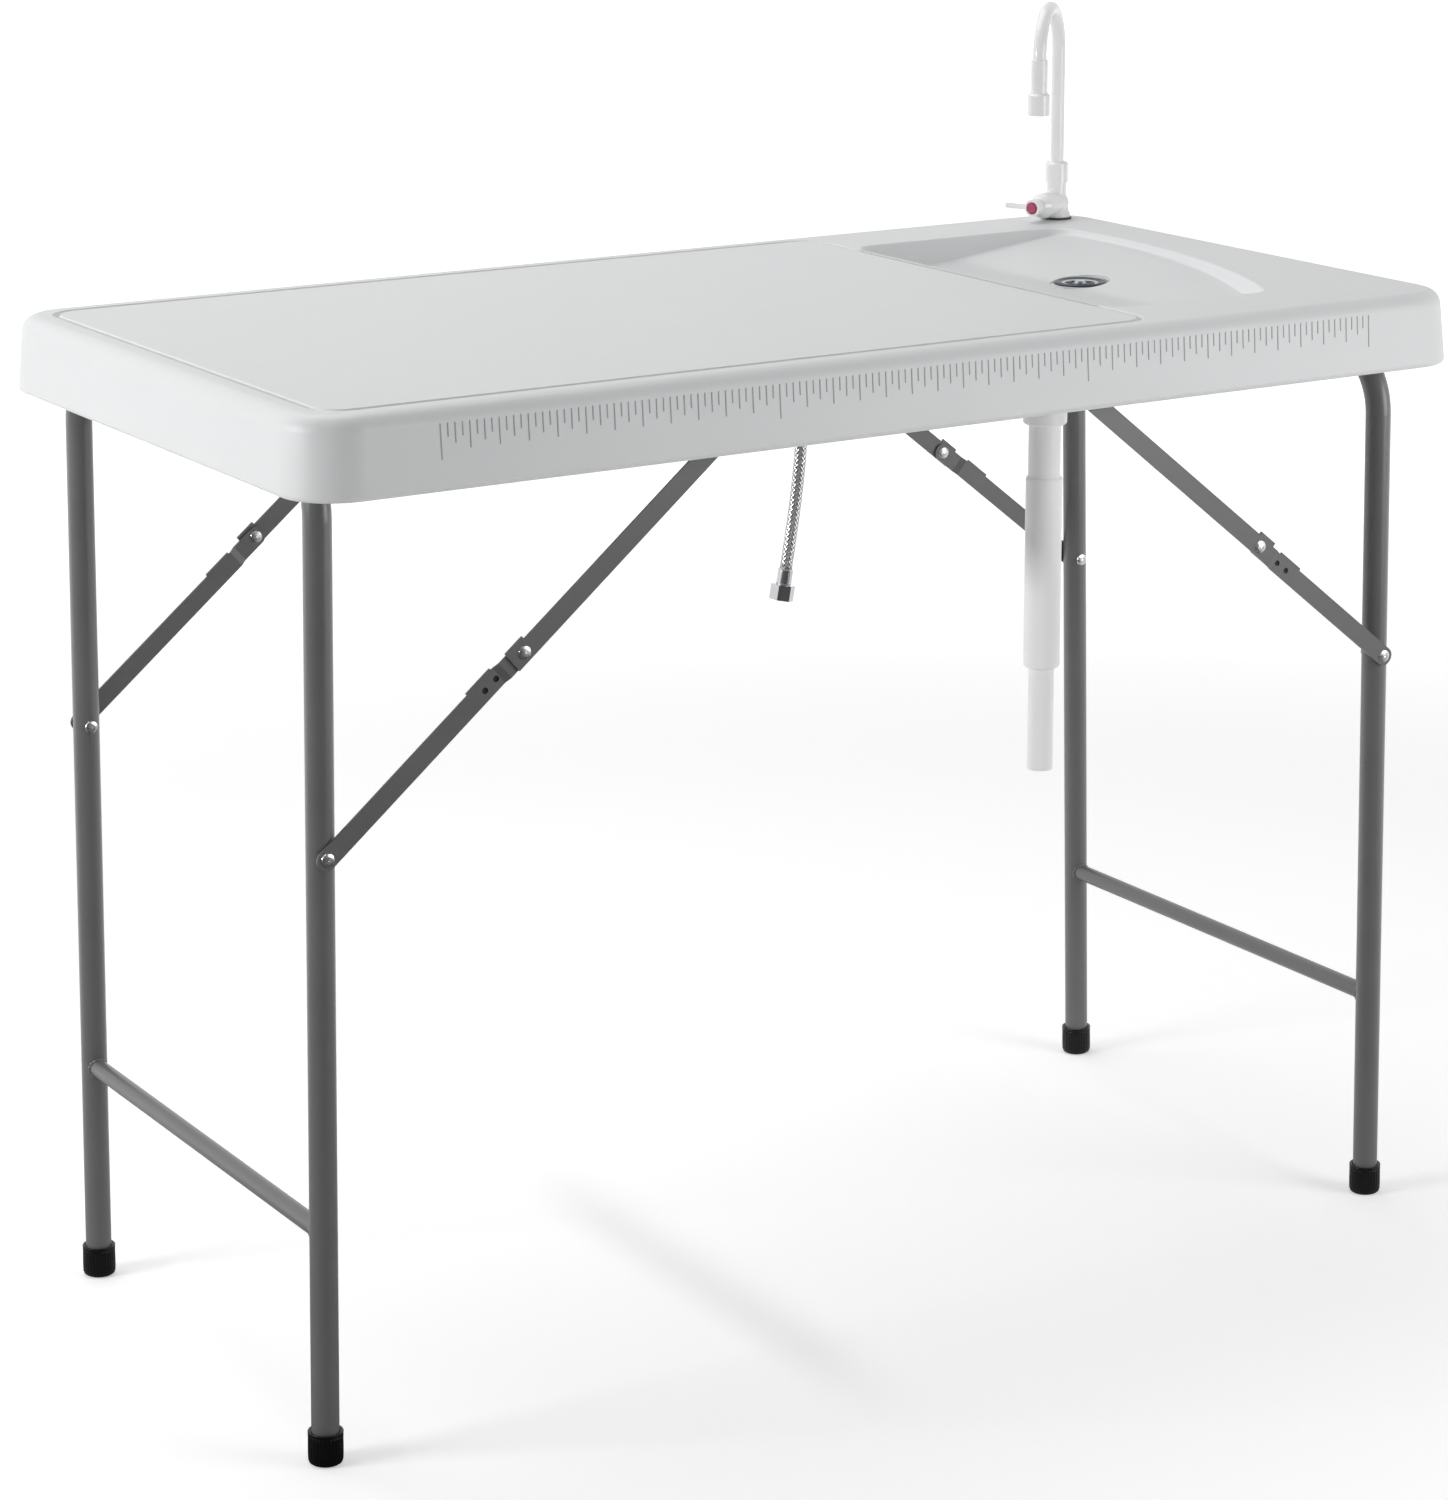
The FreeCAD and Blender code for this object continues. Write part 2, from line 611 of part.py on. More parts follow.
def tube_skin(name, side, radius):
    """One skin of the bent tube: two legs, two quarter bends and the top between them."""
    leg = size("leg_plane_y")
    bend = size("leg_bend_radius")
    foot = leg_reach(side) - size("foot_sole")
    pieces = [cylinder(name + "_top", radius, "2 * (leg_plane_y - leg_bend_radius)",
                       Vector(0, bend - leg, 0), TIP_ACROSS)]
    for end, sign in ENDS.items():
        pieces.append(cylinder("%s_%s" % (name, end), radius, "%r - leg_bend_radius" % foot,
                               Vector(0, sign * leg, -foot)))
        elbow = doc.addObject("Part::Torus", "%s_%s_bend" % (name, end))
        bind(elbow, Radius1="leg_bend_radius", Radius2=radius, Angle3="quarter_turn")
        turn = FreeCAD.Rotation(Vector(0, sign, 0), UP, Vector(sign, 0, 0), "XYZ")
        elbow.Placement = FreeCAD.Placement(Vector(0, sign * (leg - bend), -bend), turn)
        pieces.append(elbow)
    return fuse_all(name, pieces)


def make_leg_frame(side):
    label = side + "_leg_frame"
    radius = "leg_tube_diameter / 2"
    outer = tube_skin(label + "_skin", side, radius)
    inner = tube_skin(label + "_bore", side, radius + " - leg_tube_wall")
    tube = boolean("Cut", label + "_tube", outer, inner)
    along = brace_arm(side)
    holes = cylinder(label + "_rivet_holes", "rivet_radius + press_gap", "table_width",
                     Vector(0, -size("table_width / 2"), -along), TIP_ACROSS)
    frame = boolean("Cut", label, tube, holes, True)
    return placed(frame, SIDES[side] * size("pivot_x"), 0, pivot_height(side), frame_turn(side))


def brace_arm(side):
    """Distance down the leg from its pivot to the brace's rivet."""
    drop = pivot_height(side) - size(side + "_rivet_height")
    return drop / math.cos(math.radians(size("leg_splay_angle")))


def make_crossbar(side):
    """A straight round bar whose ends are hollowed to sit against the legs."""
    label = side + "_crossbar"
    along = leg_reach(side) - size("crossbar_height")
    bar = cylinder(label + "_bar", "crossbar_diameter / 2", "2 * leg_plane_y",
                   Vector(0, -size("leg_plane_y"), -along), TIP_ACROSS)
    legs = [cylinder(label + "_seat_" + end, "leg_tube_diameter / 2 + crossbar_weld_gap", "worktop_height",
                     Vector(0, sign * size("leg_plane_y"), -size("worktop_height")))
            for end, sign in ENDS.items()]
    seats = fuse_all(label + "_seats", legs)
    crossbar = boolean("Cut", label, bar, seats, True)
    return placed(crossbar, SIDES[side] * size("pivot_x"), 0, pivot_height(side), frame_turn(side))


def make_foot(side, end):
    """A moulded cap pushed over the tube's end, flat where it stands on the floor."""
    label = "%s_%s_foot" % (side, end)
    body = new_body(label)
    socket = "(leg_tube_diameter / 2 + press_gap)"
    revolve(body, [("0", "-foot_chamfer"), ("foot_radius - foot_chamfer", "-foot_chamfer"),
                   ("foot_radius", "foot_chamfer"), ("foot_lip_radius", "foot_height"),
                   (socket, "foot_height"), (socket, "foot_sole"), ("0", "foot_sole")])
    place = frame_place(side, leg_reach(side), ENDS[end] * size("leg_plane_y"))
    placed(body, place.x, place.y, 0, frame_turn(side))
    wide = size("foot_radius + cut_overrun")
    floor = box(label + "_floor", "2 * (foot_radius + cut_overrun)", "2 * (foot_radius + cut_overrun)",
                "cut_overrun", Vector(place.x - wide, place.y - wide, -size("cut_overrun")))
    return boolean("Cut", label, body, floor, True)


# Rivets: a shank with low domed heads, lying along Y
def head_outline(seat, way):
    """Half the outline of a domed head, from its crown to its seat; way is + or -."""
    rise = "rivet_head_height"
    return [("0", "%s %s %s" % (seat, way, rise)),
            ("dome_inner_share * rivet_head_radius", "%s %s dome_crown_share * %s" % (seat, way, rise)),
            ("dome_outer_share * rivet_head_radius", "%s %s dome_shoulder_share * %s" % (seat, way, rise)),
            ("rivet_head_radius", seat), ("rivet_radius", seat)]


def rivet(label, place, inner, outer, end, heads):
    """A rivet between two distances from the table's middle plane, at one end of the table."""
    body = new_body(label)
    far = "%r" % (outer - inner)
    start = head_outline("0", "-") if "inner" in heads else [("0", "0"), ("rivet_radius", "0")]
    finish = head_outline(far, "+") if "outer" in heads else [("0", far), ("rivet_radius", far)]
    revolve(body, start + finish[::-1])
    return placed(body, place.x, end * inner, place.z, FreeCAD.Rotation(UP, Vector(0, end, 0)))


def make_leg_rivets(side):
    """The rivets that carry the lower links, through both walls of each leg."""
    place = frame_place(side, brace_arm(side))
    inner = size("leg_plane_y - leg_tube_diameter / 2 - fit_gap")
    outer = lower_link_face() + size("link_thickness + fit_gap")
    label = side + "_leg_rivets"
    group(label, [rivet("%s_%s" % (label, end), place, inner, outer, sign, ("inner", "outer"))
                  for end, sign in ENDS.items()])


def make_top_rivets():
    """The rivets that hang the upper links on their brackets."""
    label = "brace_top_rivets"
    rivets = []
    for side, x, end in bracket_places():
        place = Vector(x, 0, pivot_height(side))
        outer = bracket_face() + size("bracket_thickness")
        rivets.append(rivet("%s_%d" % (label, len(rivets)), place, upper_link_face() - size("fit_gap"),
                            outer, end, ("inner", "outer")))
    group(label, rivets)


def hinge_place(side):
    """Where the two links of an open brace meet."""
    long_link = brace_lengths(side)[0]
    slope = math.radians(brace_slope(side))
    x = size("brace_top_x_" + side) + long_link * math.cos(slope)
    return Vector(SIDES[side] * x, 0, pivot_height(side) - long_link * math.sin(slope))


def make_hinge_rivets(side, end):
    """The middle rivet in its two halves: the head outside, and the clenched tail inside."""
    place = hinge_place(side)
    upper = upper_link_face()
    lower = lower_link_face() + size("joggle_step")
    thick = size("link_thickness")
    for name, face, heads in (("hinge_rivet", upper, ("outer",)), ("hinge_tail", lower, ("inner",))):
        label = "%s_%s_%s" % (side, end, name)
        name_part(rivet(label, place, face, face + thick, ENDS[end], heads), label)


# Brace links, flat steel bars
def link_turn(side, end):
    """Turns a link drawn along +X so that it points outwards and down the open brace."""
    slope = brace_slope(side)
    if SIDES[side] > 0:
        return FreeCAD.Rotation(ACROSS, slope)
    return FreeCAD.Rotation(ACROSS, -slope).multiply(TURN_ROUND)


def make_upper_link(side, end):
    """The long link: a rounded end at the bracket and a wider plate past the middle rivet."""
    label = "%s_%s_upper_link" % (side, end)
    body = part_body(label)
    length = brace_lengths(side)[0]
    half = "link_width / 2"
    plate = "(link_width / 2 + plate_rise)"
    sketch = new_sketch(body, "XZ_Plane")
    far = "%r" % length
    add_outline(sketch, [("-link_end", "-" + half), (far + " + plate_front", "-" + half),
                         (far + " + plate_front", plate), (far + " - plate_back", plate),
                         (far + " - plate_back", half), ("-link_end", half)])
    pad(body, sketch, "link_thickness", True)
    fillet(body, "end_round_share * link_width",
           lambda edge: runs_along(edge, ACROSS) and middle(edge).x < 0)
    holes = new_sketch(body, "XZ_Plane")
    add_circle(holes, "0", "0", "rivet_radius + running_clearance")
    add_circle(holes, far, "0", "rivet_radius + press_gap")
    pocket_through(body, holes)
    place = Vector(SIDES[side] * size("brace_top_x_" + side), 0, pivot_height(side))
    across = upper_link_face() + size("link_thickness / 2")
    return placed(body, place.x, ENDS[end] * across, place.z, link_turn(side, end))


def make_lower_link(side, end):
    """The short link: flat on the leg, then stepped outwards to meet the upper link."""
    label = "%s_%s_lower_link" % (side, end)
    body = part_body(label)
    length = brace_lengths(side)[1]
    sign = ENDS[end]
    way = "-" if SIDES[side] * sign > 0 else ""
    far = "%r" % length
    step = way + "joggle_step"
    thick = way + "link_thickness"
    stepped = "%s(joggle_step + link_thickness)" % way
    sketch = new_sketch(body, "XY_Plane")
    add_outline(sketch, [("-link_end", "0"), (far + " - joggle_start", "0"), (far + " - joggle_end", step),
                         (far + " + link_end", step), (far + " + link_end", stepped),
                         (far + " - joggle_end", stepped), (far + " - joggle_start", thick),
                         ("-link_end", thick)])
    pad(body, sketch, "link_width + 2 * lug_rise", True)
    trim_link(body, far)
    fillet(body, "end_round_share * link_width", lambda edge: runs_along(edge, ACROSS)
           and (middle(edge).x < -size("link_end / 2") or middle(edge).x > length + size("link_end / 2")))
    holes = new_sketch(body, "XZ_Plane")
    add_circle(holes, "0", "0", "rivet_radius + running_clearance")
    add_circle(holes, far, "0", "rivet_radius + press_gap")
    pocket_through(body, holes)
    sink_holes(body, far, way)
    place = frame_place(side, brace_arm(side))
    turn = link_turn(side, end).multiply(TURN_ROUND)
    return placed(body, place.x, sign * lower_link_face(), place.z, turn)


def sink_holes(body, far, way):
    """Two round holes in the outer face, with a thin floor left at the leg's side."""
    holes = new_sketch(body, "XZ_Plane", "-(%s(link_hole_floor))" % way)
    add_circle(holes, far + " - link_hole_near", "0", "link_hole_radius")
    add_circle(holes, far + " - link_hole_far", "0", "link_hole_radius")
    pocket_down(body, holes, "link_thickness + joggle_step", way == "-")


def trim_link(body, far):
    """Cuts the short link down to its width, except for the lug on its upper edge."""
    sketch = new_sketch(body, "XZ_Plane")
    start = "-link_end - cut_overrun"
    finish = far + " + link_end + cut_overrun"
    half = "link_width / 2"
    beyond = "(link_width / 2 + lug_rise + cut_overrun)"
    for low, high, near, out in ((start, finish, "-" + half, "-" + beyond),
                                 (start, far + " - lug_far", half, beyond),
                                 (far + " - lug_near", finish, half, beyond)):
        add_outline(sketch, [(low, near), (high, near), (high, out), (low, out)])
    pocket_through(body, sketch)


def make_brackets(side):
    """Angle brackets screwed under the panel, each with an ear that carries an upper link."""
    solids = []
    for end, sign in ENDS.items():
        body = new_body("%s_%s_bracket" % (side, end))
        ear = "(%s_pivot_drop - panel_thickness + bracket_below_pivot)" % side
        thick = "bracket_thickness"
        sketch = new_sketch(body, "YZ_Plane")
        add_outline(sketch, [("0", "0"), ("bracket_flange", "0"), ("bracket_flange", "-" + thick),
                             (thick, "-" + thick), (thick, "-" + ear), ("0", "-" + ear)])
        pad(body, sketch, "bracket_width", True)
        low = -size(ear)
        fillet(body, "bracket_corner_radius", lambda edge: runs_along(edge, ACROSS)
               and middle(edge).z < low + size("fit_gap"))
        hole = new_sketch(body, "XZ_Plane")
        add_circle(hole, "0", "-(%s_pivot_drop - panel_thickness)" % side, "rivet_radius + press_gap")
        pocket_through(body, hole)
        screws = new_sketch(body, "XY_Plane")
        for step in ("-bracket_screw_x", "bracket_screw_x"):
            add_circle(screws, step, "bracket_screw_y", "screw_shank_radius + press_gap")
        pocket_through(body, screws)
        turn = FreeCAD.Rotation() if sign > 0 else TURN_ROUND
        x = SIDES[side] * size("brace_top_x_" + side)
        solids.append(placed(body, x, sign * bracket_face(), size(UNDERSIDE), turn))
    return group(side + "_brace_brackets", solids)


def make_saddles(side):
    """Moulded saddles: a slot holds the frame's top tube up against the panel."""
    solids = []
    for end, sign in ENDS.items():
        body = new_body("%s_%s_saddle" % (side, end))
        bore = "(leg_tube_diameter / 2 + running_clearance)"
        drop = "(%s_pivot_drop - panel_thickness)" % side
        base = "(%s + leg_tube_diameter / 2 + saddle_floor)" % drop
        cheek = "(%s + saddle_cheek)" % bore
        sketch = new_sketch(body, "XZ_Plane")
        add_outline(sketch, [("-saddle_inward", "0"), ("-saddle_inward", "-saddle_flange"),
                             ("-" + cheek, "-saddle_flange"), ("-" + cheek, "-" + base),
                             (cheek, "-" + base), (cheek, "0")])
        pad(body, sketch, "saddle_width_y", True)
        slot = new_sketch(body, "XZ_Plane")
        add_outline(slot, [("-" + bore, "cut_overrun"), ("-" + bore, "-" + drop),
                           (bore, "-" + drop), (bore, "cut_overrun")])
        pocket_through(body, slot)
        round_bore = new_sketch(body, "XZ_Plane")
        add_circle(round_bore, "0", "-" + drop, bore)
        pocket_through(body, round_bore)
        screws = new_sketch(body, "XY_Plane")
        for step in ("-saddle_screw_y", "saddle_screw_y"):
            add_circle(screws, "-saddle_screw_x", step, "screw_shank_radius + press_gap")
        pocket_through(body, screws)
        turn = FreeCAD.Rotation() if side == "right" else TURN_ROUND
        x = SIDES[side] * size("pivot_x")
        solids.append(placed(body, x, sign * size("saddle_y"), size(UNDERSIDE), turn))
    return group(side + "_saddles", solids)


def make_screws(kind):
    """Pan-head screws driven up into the panel."""
    solids = []
    for number, (owner, x, y, seat) in enumerate(screw_places()):
        if owner != kind:
            continue
        body = new_body("%s_screw_%d" % (kind, number))
        revolve(body, [("0", "-screw_head_height"), ("screw_head_radius / 2", "-screw_head_height"),
                       ("screw_head_radius", "-screw_head_height / 3"), ("screw_head_radius", "0"),
                       ("screw_shank_radius", "0"), ("screw_shank_radius", "screw_shank_length"),
                       ("0", "screw_shank_length")])
        solids.append(placed(body, x, y, seat))
    return group(kind + "_screws", solids)


# Drain: the waste under the sink steps sideways to the upright pipe
def drain_part(label, points, high="0"):
    body = part_body(label)
    revolve(body, points)
    return placed(body, size("drain_x"), size("drain_y"), size(high))


def sump_floor():
    return floor_height(size("waste_x")) - size("sump_step")


def drain_skin(name, radius, flange, spare="0"):
    """One skin of the waste: upright under the sink, a slanting step sideways, and upright to the pipe."""
    across = size("drain_y")
    foot = size("drain_tube_bottom - " + spare)
    above = size("waste_x")
    below = size("drain_x")
    points = [Vector(above, across, flange + size(spare)), Vector(above, across, size("offset_top")),
              Vector(below, across, size("offset_bottom")), Vector(below, across, foot)]
    ring = Part.Wire([Part.Circle(points[0], UP, size(radius)).toShape()])
    return shape_feature(name, hose_path(points).makePipeShell([ring], True, False))


def make_drain_body(flange):
    """The waste in one moulding: a flange in the sink's step and a bent tube down to the pipe."""
    label = "drain_body"
    place = Vector(size("waste_x"), size("drain_y"), flange)
    rim = cylinder("drain_flange", "drain_flange_radius", "drain_flange_thickness", place)
    outer = drain_skin("drain_skin", "drain_tube_radius", flange)
    inner = drain_skin("drain_bore", "drain_bore_radius", flange, "cut_overrun")
    return boolean("Cut", label, fuse_all("drain_solid", [rim, outer]), inner, True)


def make_drain():
    flange = sump_floor()
    make_drain_body(flange)
    make_strainer(flange + size("drain_flange_thickness"))
    under = flange - size("2 * basin_wall")
    seal = part_body("drain_seal")
    bore = "(drain_tube_radius + press_gap)"
    revolve(seal, [(bore, "0"), ("drain_seal_radius", "0"),
                   ("drain_seal_radius", "-drain_seal_thickness"), (bore, "-drain_seal_thickness")])
    placed(seal, size("waste_x"), size("drain_y"), under)
    nut = part_body("drain_lock_nut")
    sketch = new_sketch(nut, "XY_Plane")
    add_polygon(sketch, "lock_nut_radius", "lock_nut_flats")
    add_circle(sketch, "0", "0", bore)
    pad(nut, sketch, "lock_nut_height")
    placed(nut, size("waste_x"), size("drain_y"), under - size("drain_seal_thickness + lock_nut_height"))
    coupling = part_body("drain_coupling_nut")
    neck = "(tailpiece_radius + press_gap)"
    revolve(coupling, [(neck, "0"), ("coupling_radius - coupling_lip / 2", "0"),
                       ("coupling_radius", "coupling_lip / 2"),
                       ("coupling_radius", "coupling_height"), (bore, "coupling_height"),
                       (bore, "coupling_drop - drain_tube_drop"), (neck, "coupling_drop - drain_tube_drop")])
    placed(coupling, size("drain_x"), size("drain_y"), size("coupling_bottom"))
    drain_part("drain_tailpiece", [("tailpiece_radius - tailpiece_wall", "tailpiece_bottom"),
                                   ("tailpiece_radius", "tailpiece_bottom"),
                                   ("tailpiece_radius", "tailpiece_top"),
                                   ("tailpiece_radius - tailpiece_wall", "tailpiece_top")])
    make_sleeve()
    drain_part("drain_end_tube", [("end_tube_radius - end_tube_wall", "end_tube_bottom"),
                                  ("end_tube_radius", "end_tube_bottom"),
                                  ("end_tube_radius", "end_tube_top - end_tube_collar_height"),
                                  ("end_tube_collar_radius", "end_tube_top - end_tube_collar_height"),
                                  ("end_tube_collar_radius", "end_tube_top"),
                                  ("end_tube_radius - end_tube_wall", "end_tube_top")])


def make_sleeve():
    bore = "(tailpiece_radius + press_gap)"
    neck = "(end_tube_radius + press_gap)"
    outer = "sleeve_radius"
    chamfer = "sleeve_chamfer"
    drain_part("drain_sleeve", [(neck, "sleeve_bottom"), (outer + " - " + chamfer, "sleeve_bottom"),
                                (outer, "sleeve_bottom + " + chamfer),
                                (outer, "sleeve_top - " + chamfer),
                                (outer + " - " + chamfer + " / 2", "sleeve_top"), (bore, "sleeve_top"),
                                (bore, "sleeve_bottom + sleeve_neck_height"),
                                (neck, "sleeve_bottom + sleeve_neck_height")])


def add_polygon(sketch, radius, flats):
    """A regular outline of flats about the origin, given by its corner radius."""
    corners = []
    sides = int(size(flats))
    for index in range(sides):
        angle = math.pi * (2 * index + 1) / sides
        corners.append(("%r * %s" % (math.cos(angle), radius), "%r * %s" % (math.sin(angle), radius)))
    return add_outline(sketch, corners)


def make_strainer(height):
    """A dished steel ring with a slotted plate, a raised hub and a spigot in the drain's bore."""
    body = part_body("drain_strainer")
    revolve(body, [("0", "-strainer_plate_thickness"),
                   ("strainer_bore_radius - strainer_plate_thickness", "-strainer_plate_thickness"),
                   ("strainer_bore_radius - strainer_plate_thickness", "-strainer_spigot_length"),
                   ("strainer_bore_radius", "-strainer_spigot_length"), ("strainer_bore_radius", "0"),
                   ("strainer_radius", "0"), ("strainer_radius", "strainer_thickness / 2"),
                   ("strainer_radius - strainer_thickness", "strainer_thickness"),
                   ("strainer_bore_radius", "strainer_dish_share * strainer_thickness"),
                   ("strainer_hub_radius", "0"),
                   ("strainer_hub_radius * hub_top_share", "strainer_hub_height"),
                   ("0", "strainer_hub_height")])
    slot = new_sketch(body, "XY_Plane")
    half = "strainer_slot_width / 2"
    add_outline(slot, [("strainer_slot_inner", "-" + half), ("strainer_slot_outer", "-" + half),
                       ("strainer_slot_outer", half), ("strainer_slot_inner", half)])
    cut = pocket_through(body, slot)
    pattern = body.newObject("PartDesign::PolarPattern", "strainer_slots")
    pattern.Originals = [cut]
    pattern.Axis = (slot, ["N_Axis"])
    bind(pattern, Angle="full_turn")
    pattern.Occurrences = int(size("strainer_slot_count"))
    body.Tip = pattern
    doc.recompute()
    return placed(body, size("waste_x"), size("drain_y"), height)


# Faucet, on the rim behind the basin
def at_faucet(body, height, turn=None):
    return placed(body, size("faucet_x"), size("faucet_y"), height, turn)


def make_faucet():
    seat = size("worktop_height")
    gasket = part_body("faucet_gasket")
    hole = "(shank_radius + press_gap)"
    revolve(gasket, [(hole, "0"), ("gasket_radius", "0"), ("gasket_radius", "gasket_thickness"),
                     (hole, "gasket_thickness")])
    at_faucet(gasket, seat)
    make_faucet_body(seat + size("gasket_thickness"))
    washer = part_body("shank_washer")
    revolve(washer, [(hole, "0"), ("shank_washer_radius", "0"),
                     ("shank_washer_radius", "-shank_washer_thickness"), (hole, "-shank_washer_thickness")])
    at_faucet(washer, size(UNDERSIDE))
    nut = part_body("faucet_mounting_nut")
    sketch = new_sketch(nut, "XY_Plane")
    add_polygon(sketch, "mount_nut_radius", "hex_flats")
    add_circle(sketch, "0", "0", hole)
    pad(nut, sketch, "mount_nut_height")
    at_faucet(nut, size(UNDERSIDE + " - shank_washer_thickness - mount_nut_height"))
    column_top = seat + size("gasket_thickness + faucet_column_height")
    collar = part_body("spout_collar_nut")
    inner = "(spout_radius + running_clearance)"
    outside = "(faucet_column_radius + press_gap)"
    revolve(collar, [(outside, "-collar_height * collar_skirt_share"),
                     ("collar_radius", "-collar_height * collar_skirt_share"),
                     ("collar_radius", "collar_side_share * collar_height"),
                     ("collar_radius - collar_lip / 2", "collar_top_share * collar_height"),
                     (inner, "collar_top_share * collar_height"), (inner, "side_gap"), (outside, "side_gap")])
    at_faucet(collar, column_top)
    make_spout(column_top)
    make_lever(seat + size("gasket_thickness"))


def make_faucet_body(seat):
    """One moulding: threaded shank, round foot, column and the valve's barrel on its side."""
    label = "faucet_body"
    body = new_body(label + "_column")
    revolve(body, [("0", "-shank_length"), ("shank_radius", "-shank_length"), ("shank_radius", "0"),
                   ("faucet_base_radius", "0"), ("faucet_base_radius", "base_rim_share * faucet_base_height"),
                   ("faucet_base_radius - base_slope_share * faucet_base_height", "faucet_base_height"),
                   ("faucet_column_radius", "base_flare_share * faucet_base_height"),
                   ("faucet_column_radius", "faucet_column_height"), ("0", "faucet_column_height")])
    at_faucet(body, seat)
    out = valve_direction()
    centre = Vector(size("faucet_x"), size("faucet_y"), seat + size("valve_height - gasket_thickness"))
    turn = FreeCAD.Rotation(UP, out)
    barrel = cylinder("valve_barrel", "valve_radius", "valve_face - valve_cone_length", centre, turn)
    cone = doc.addObject("Part::Cone", "valve_cone")
    bind(cone, Radius1="valve_radius", Radius2="lever_hub_radius", Height="valve_cone_length")
    cone.Placement = FreeCAD.Placement(centre + out * size("valve_face - valve_cone_length"), turn)
    ball = doc.addObject("Part::Sphere", "valve_ball")
    bind(ball, Radius="valve_radius")
    ball.Placement.Base = centre
    solid = fuse_all("faucet_solid", [body, barrel, cone, ball])
    waterway = cylinder("faucet_waterway", "faucet_bore_radius", "shank_length + faucet_column_height",
                        Vector(size("faucet_x"), size("faucet_y"), seat - size("shank_length")))
    socket = cylinder("spout_socket", "spout_seat_radius + running_clearance", "spout_socket_depth",
                      Vector(size("faucet_x"), size("faucet_y"),
                             seat + size("faucet_column_height - spout_seat_height - side_gap")))
    stem = cylinder("stem_hole", "stem_radius + running_clearance", "stem_depth + fit_gap",
                    centre + out * size("valve_face - stem_depth"), turn)
    holes = fuse_all("faucet_holes", [waterway, socket, stem])
    return boolean("Cut", label, solid, holes, True)


def valve_direction():
    angle = math.radians(size("valve_angle"))
    return Vector(math.cos(angle), math.sin(angle), 0)


def spout_direction():
    angle = math.radians(size("spout_angle"))
    return Vector(math.cos(angle), math.sin(angle), 0)


def make_spout(column_top):
    """The swan neck: a riser, a half turn, and a thicker straight end, with a seat ring at its foot."""
    label = "faucet_spout"
    base = Vector(size("faucet_x"), size("faucet_y"), column_top)
    out = spout_direction()
    reach = size("spout_reach")
    high = size("worktop_height + spout_bend_height") - column_top
    foot = base - UP * size("spout_seat_height")
    top = base + UP * high
    crown = top + out * (reach / 2) + UP * (reach / 2)
    over = top + out * reach
    tip = over - UP * size("spout_arm_length")
    path = Part.Wire([Part.LineSegment(foot, top).toShape(), Part.Arc(top, crown, over).toShape(),
                      Part.LineSegment(over, tip).toShape()])
    skins = []
    for radius in (size("spout_radius"), size("spout_radius - spout_wall")):
        ring = Part.Wire([Part.Circle(foot, UP, radius).toShape()])
        skins.append(path.makePipeShell([ring], True, False))
    arm = Part.makeCylinder(size("spout_arm_radius"), size("spout_arm_length"), tip, UP)
    seat = Part.makeCylinder(size("spout_seat_radius"), size("spout_seat_height"), foot, UP)
    solid = skins[0].fuse([arm, seat]).cut(skins[1]).removeSplitter()
    name_part(shape_feature(label, solid), label)
    aerator = part_body("faucet_aerator")
    wide = "aerator_radius"
    bore = "(spout_arm_radius + press_gap)"
    revolve(aerator, [("aerator_bore_radius", "-aerator_height + aerator_overlap"),
                      (wide, "-aerator_height + aerator_overlap"),
                      (wide, "aerator_overlap - aerator_edge_share * aerator_height"),
                      ("aerator_radius - aerator_edge_share * aerator_height", "aerator_overlap"),
                      (bore, "aerator_overlap"), (bore, "0"), ("aerator_bore_radius", "0")])
    placed(aerator, tip.x, tip.y, tip.z)


def make_lever(seat):
    """The handle: a stem in the valve, a round hub and a flat blade, with a coloured cap."""
    out = valve_direction()
    centre = Vector(size("faucet_x"), size("faucet_y"), seat + size("valve_height - gasket_thickness"))
    face = centre + out * size("valve_face + side_gap")
    turn = FreeCAD.Rotation(UP, out)
    stem = cylinder("lever_stem", "stem_radius", "stem_depth + lever_hub_length / 2",
                    centre + out * size("valve_face - stem_depth + fit_gap"), turn)
    hub = cylinder("lever_hub", "lever_hub_radius", "lever_hub_length", face, turn)
    side = Vector(out.y, -out.x, 0)
    middle_of_hub = face + out * size("lever_hub_length / 2")
    blade = Part.makeBox(size("lever_length"), size("lever_thickness"), size("lever_width"),
                         Vector(0, -size("lever_thickness / 2"), -size("lever_width / 2")))
    blunt = size("lever_width") / 3
    blade = blade.makeFillet(blunt, [edge for edge in blade.Edges
                                     if runs_along(edge, ACROSS) and middle(edge).x > blunt])
    blade_turn = FreeCAD.Rotation(ALONG, side)
    blade.Placement = FreeCAD.Placement(middle_of_hub, blade_turn)
    arm = shape_feature("lever_blade", blade)
    solid = fuse_all("lever_solid", [stem, hub, arm])
    solid.Label = "faucet_lever"
    labels.append("faucet_lever")
    cap = part_body("lever_cap")
    revolve(cap, [("0", "0"), ("lever_cap_radius", "0"), ("lever_cap_radius", "lever_cap_height / 2"),
                  ("lever_cap_radius * cap_top_share", "lever_cap_height"), ("0", "lever_cap_height")])
    place = face + out * size("lever_hub_length")
    placed(cap, place.x, place.y, place.z, turn)


# Supply hose: points in millimetres, from the faucet's shank over the rest and down
HOSE_ROUTE = [(525, 259, 811), (525, 259, 758), (489, 261, 717), (432, 264, 710), (378, 265.5, 743),
              (360, 266, 803), (313, 266, 833), (258, 266, 823), (224, 266, 777), (231, 266, 710),
              (224, 265, 630), (209.5, 264, 556)]


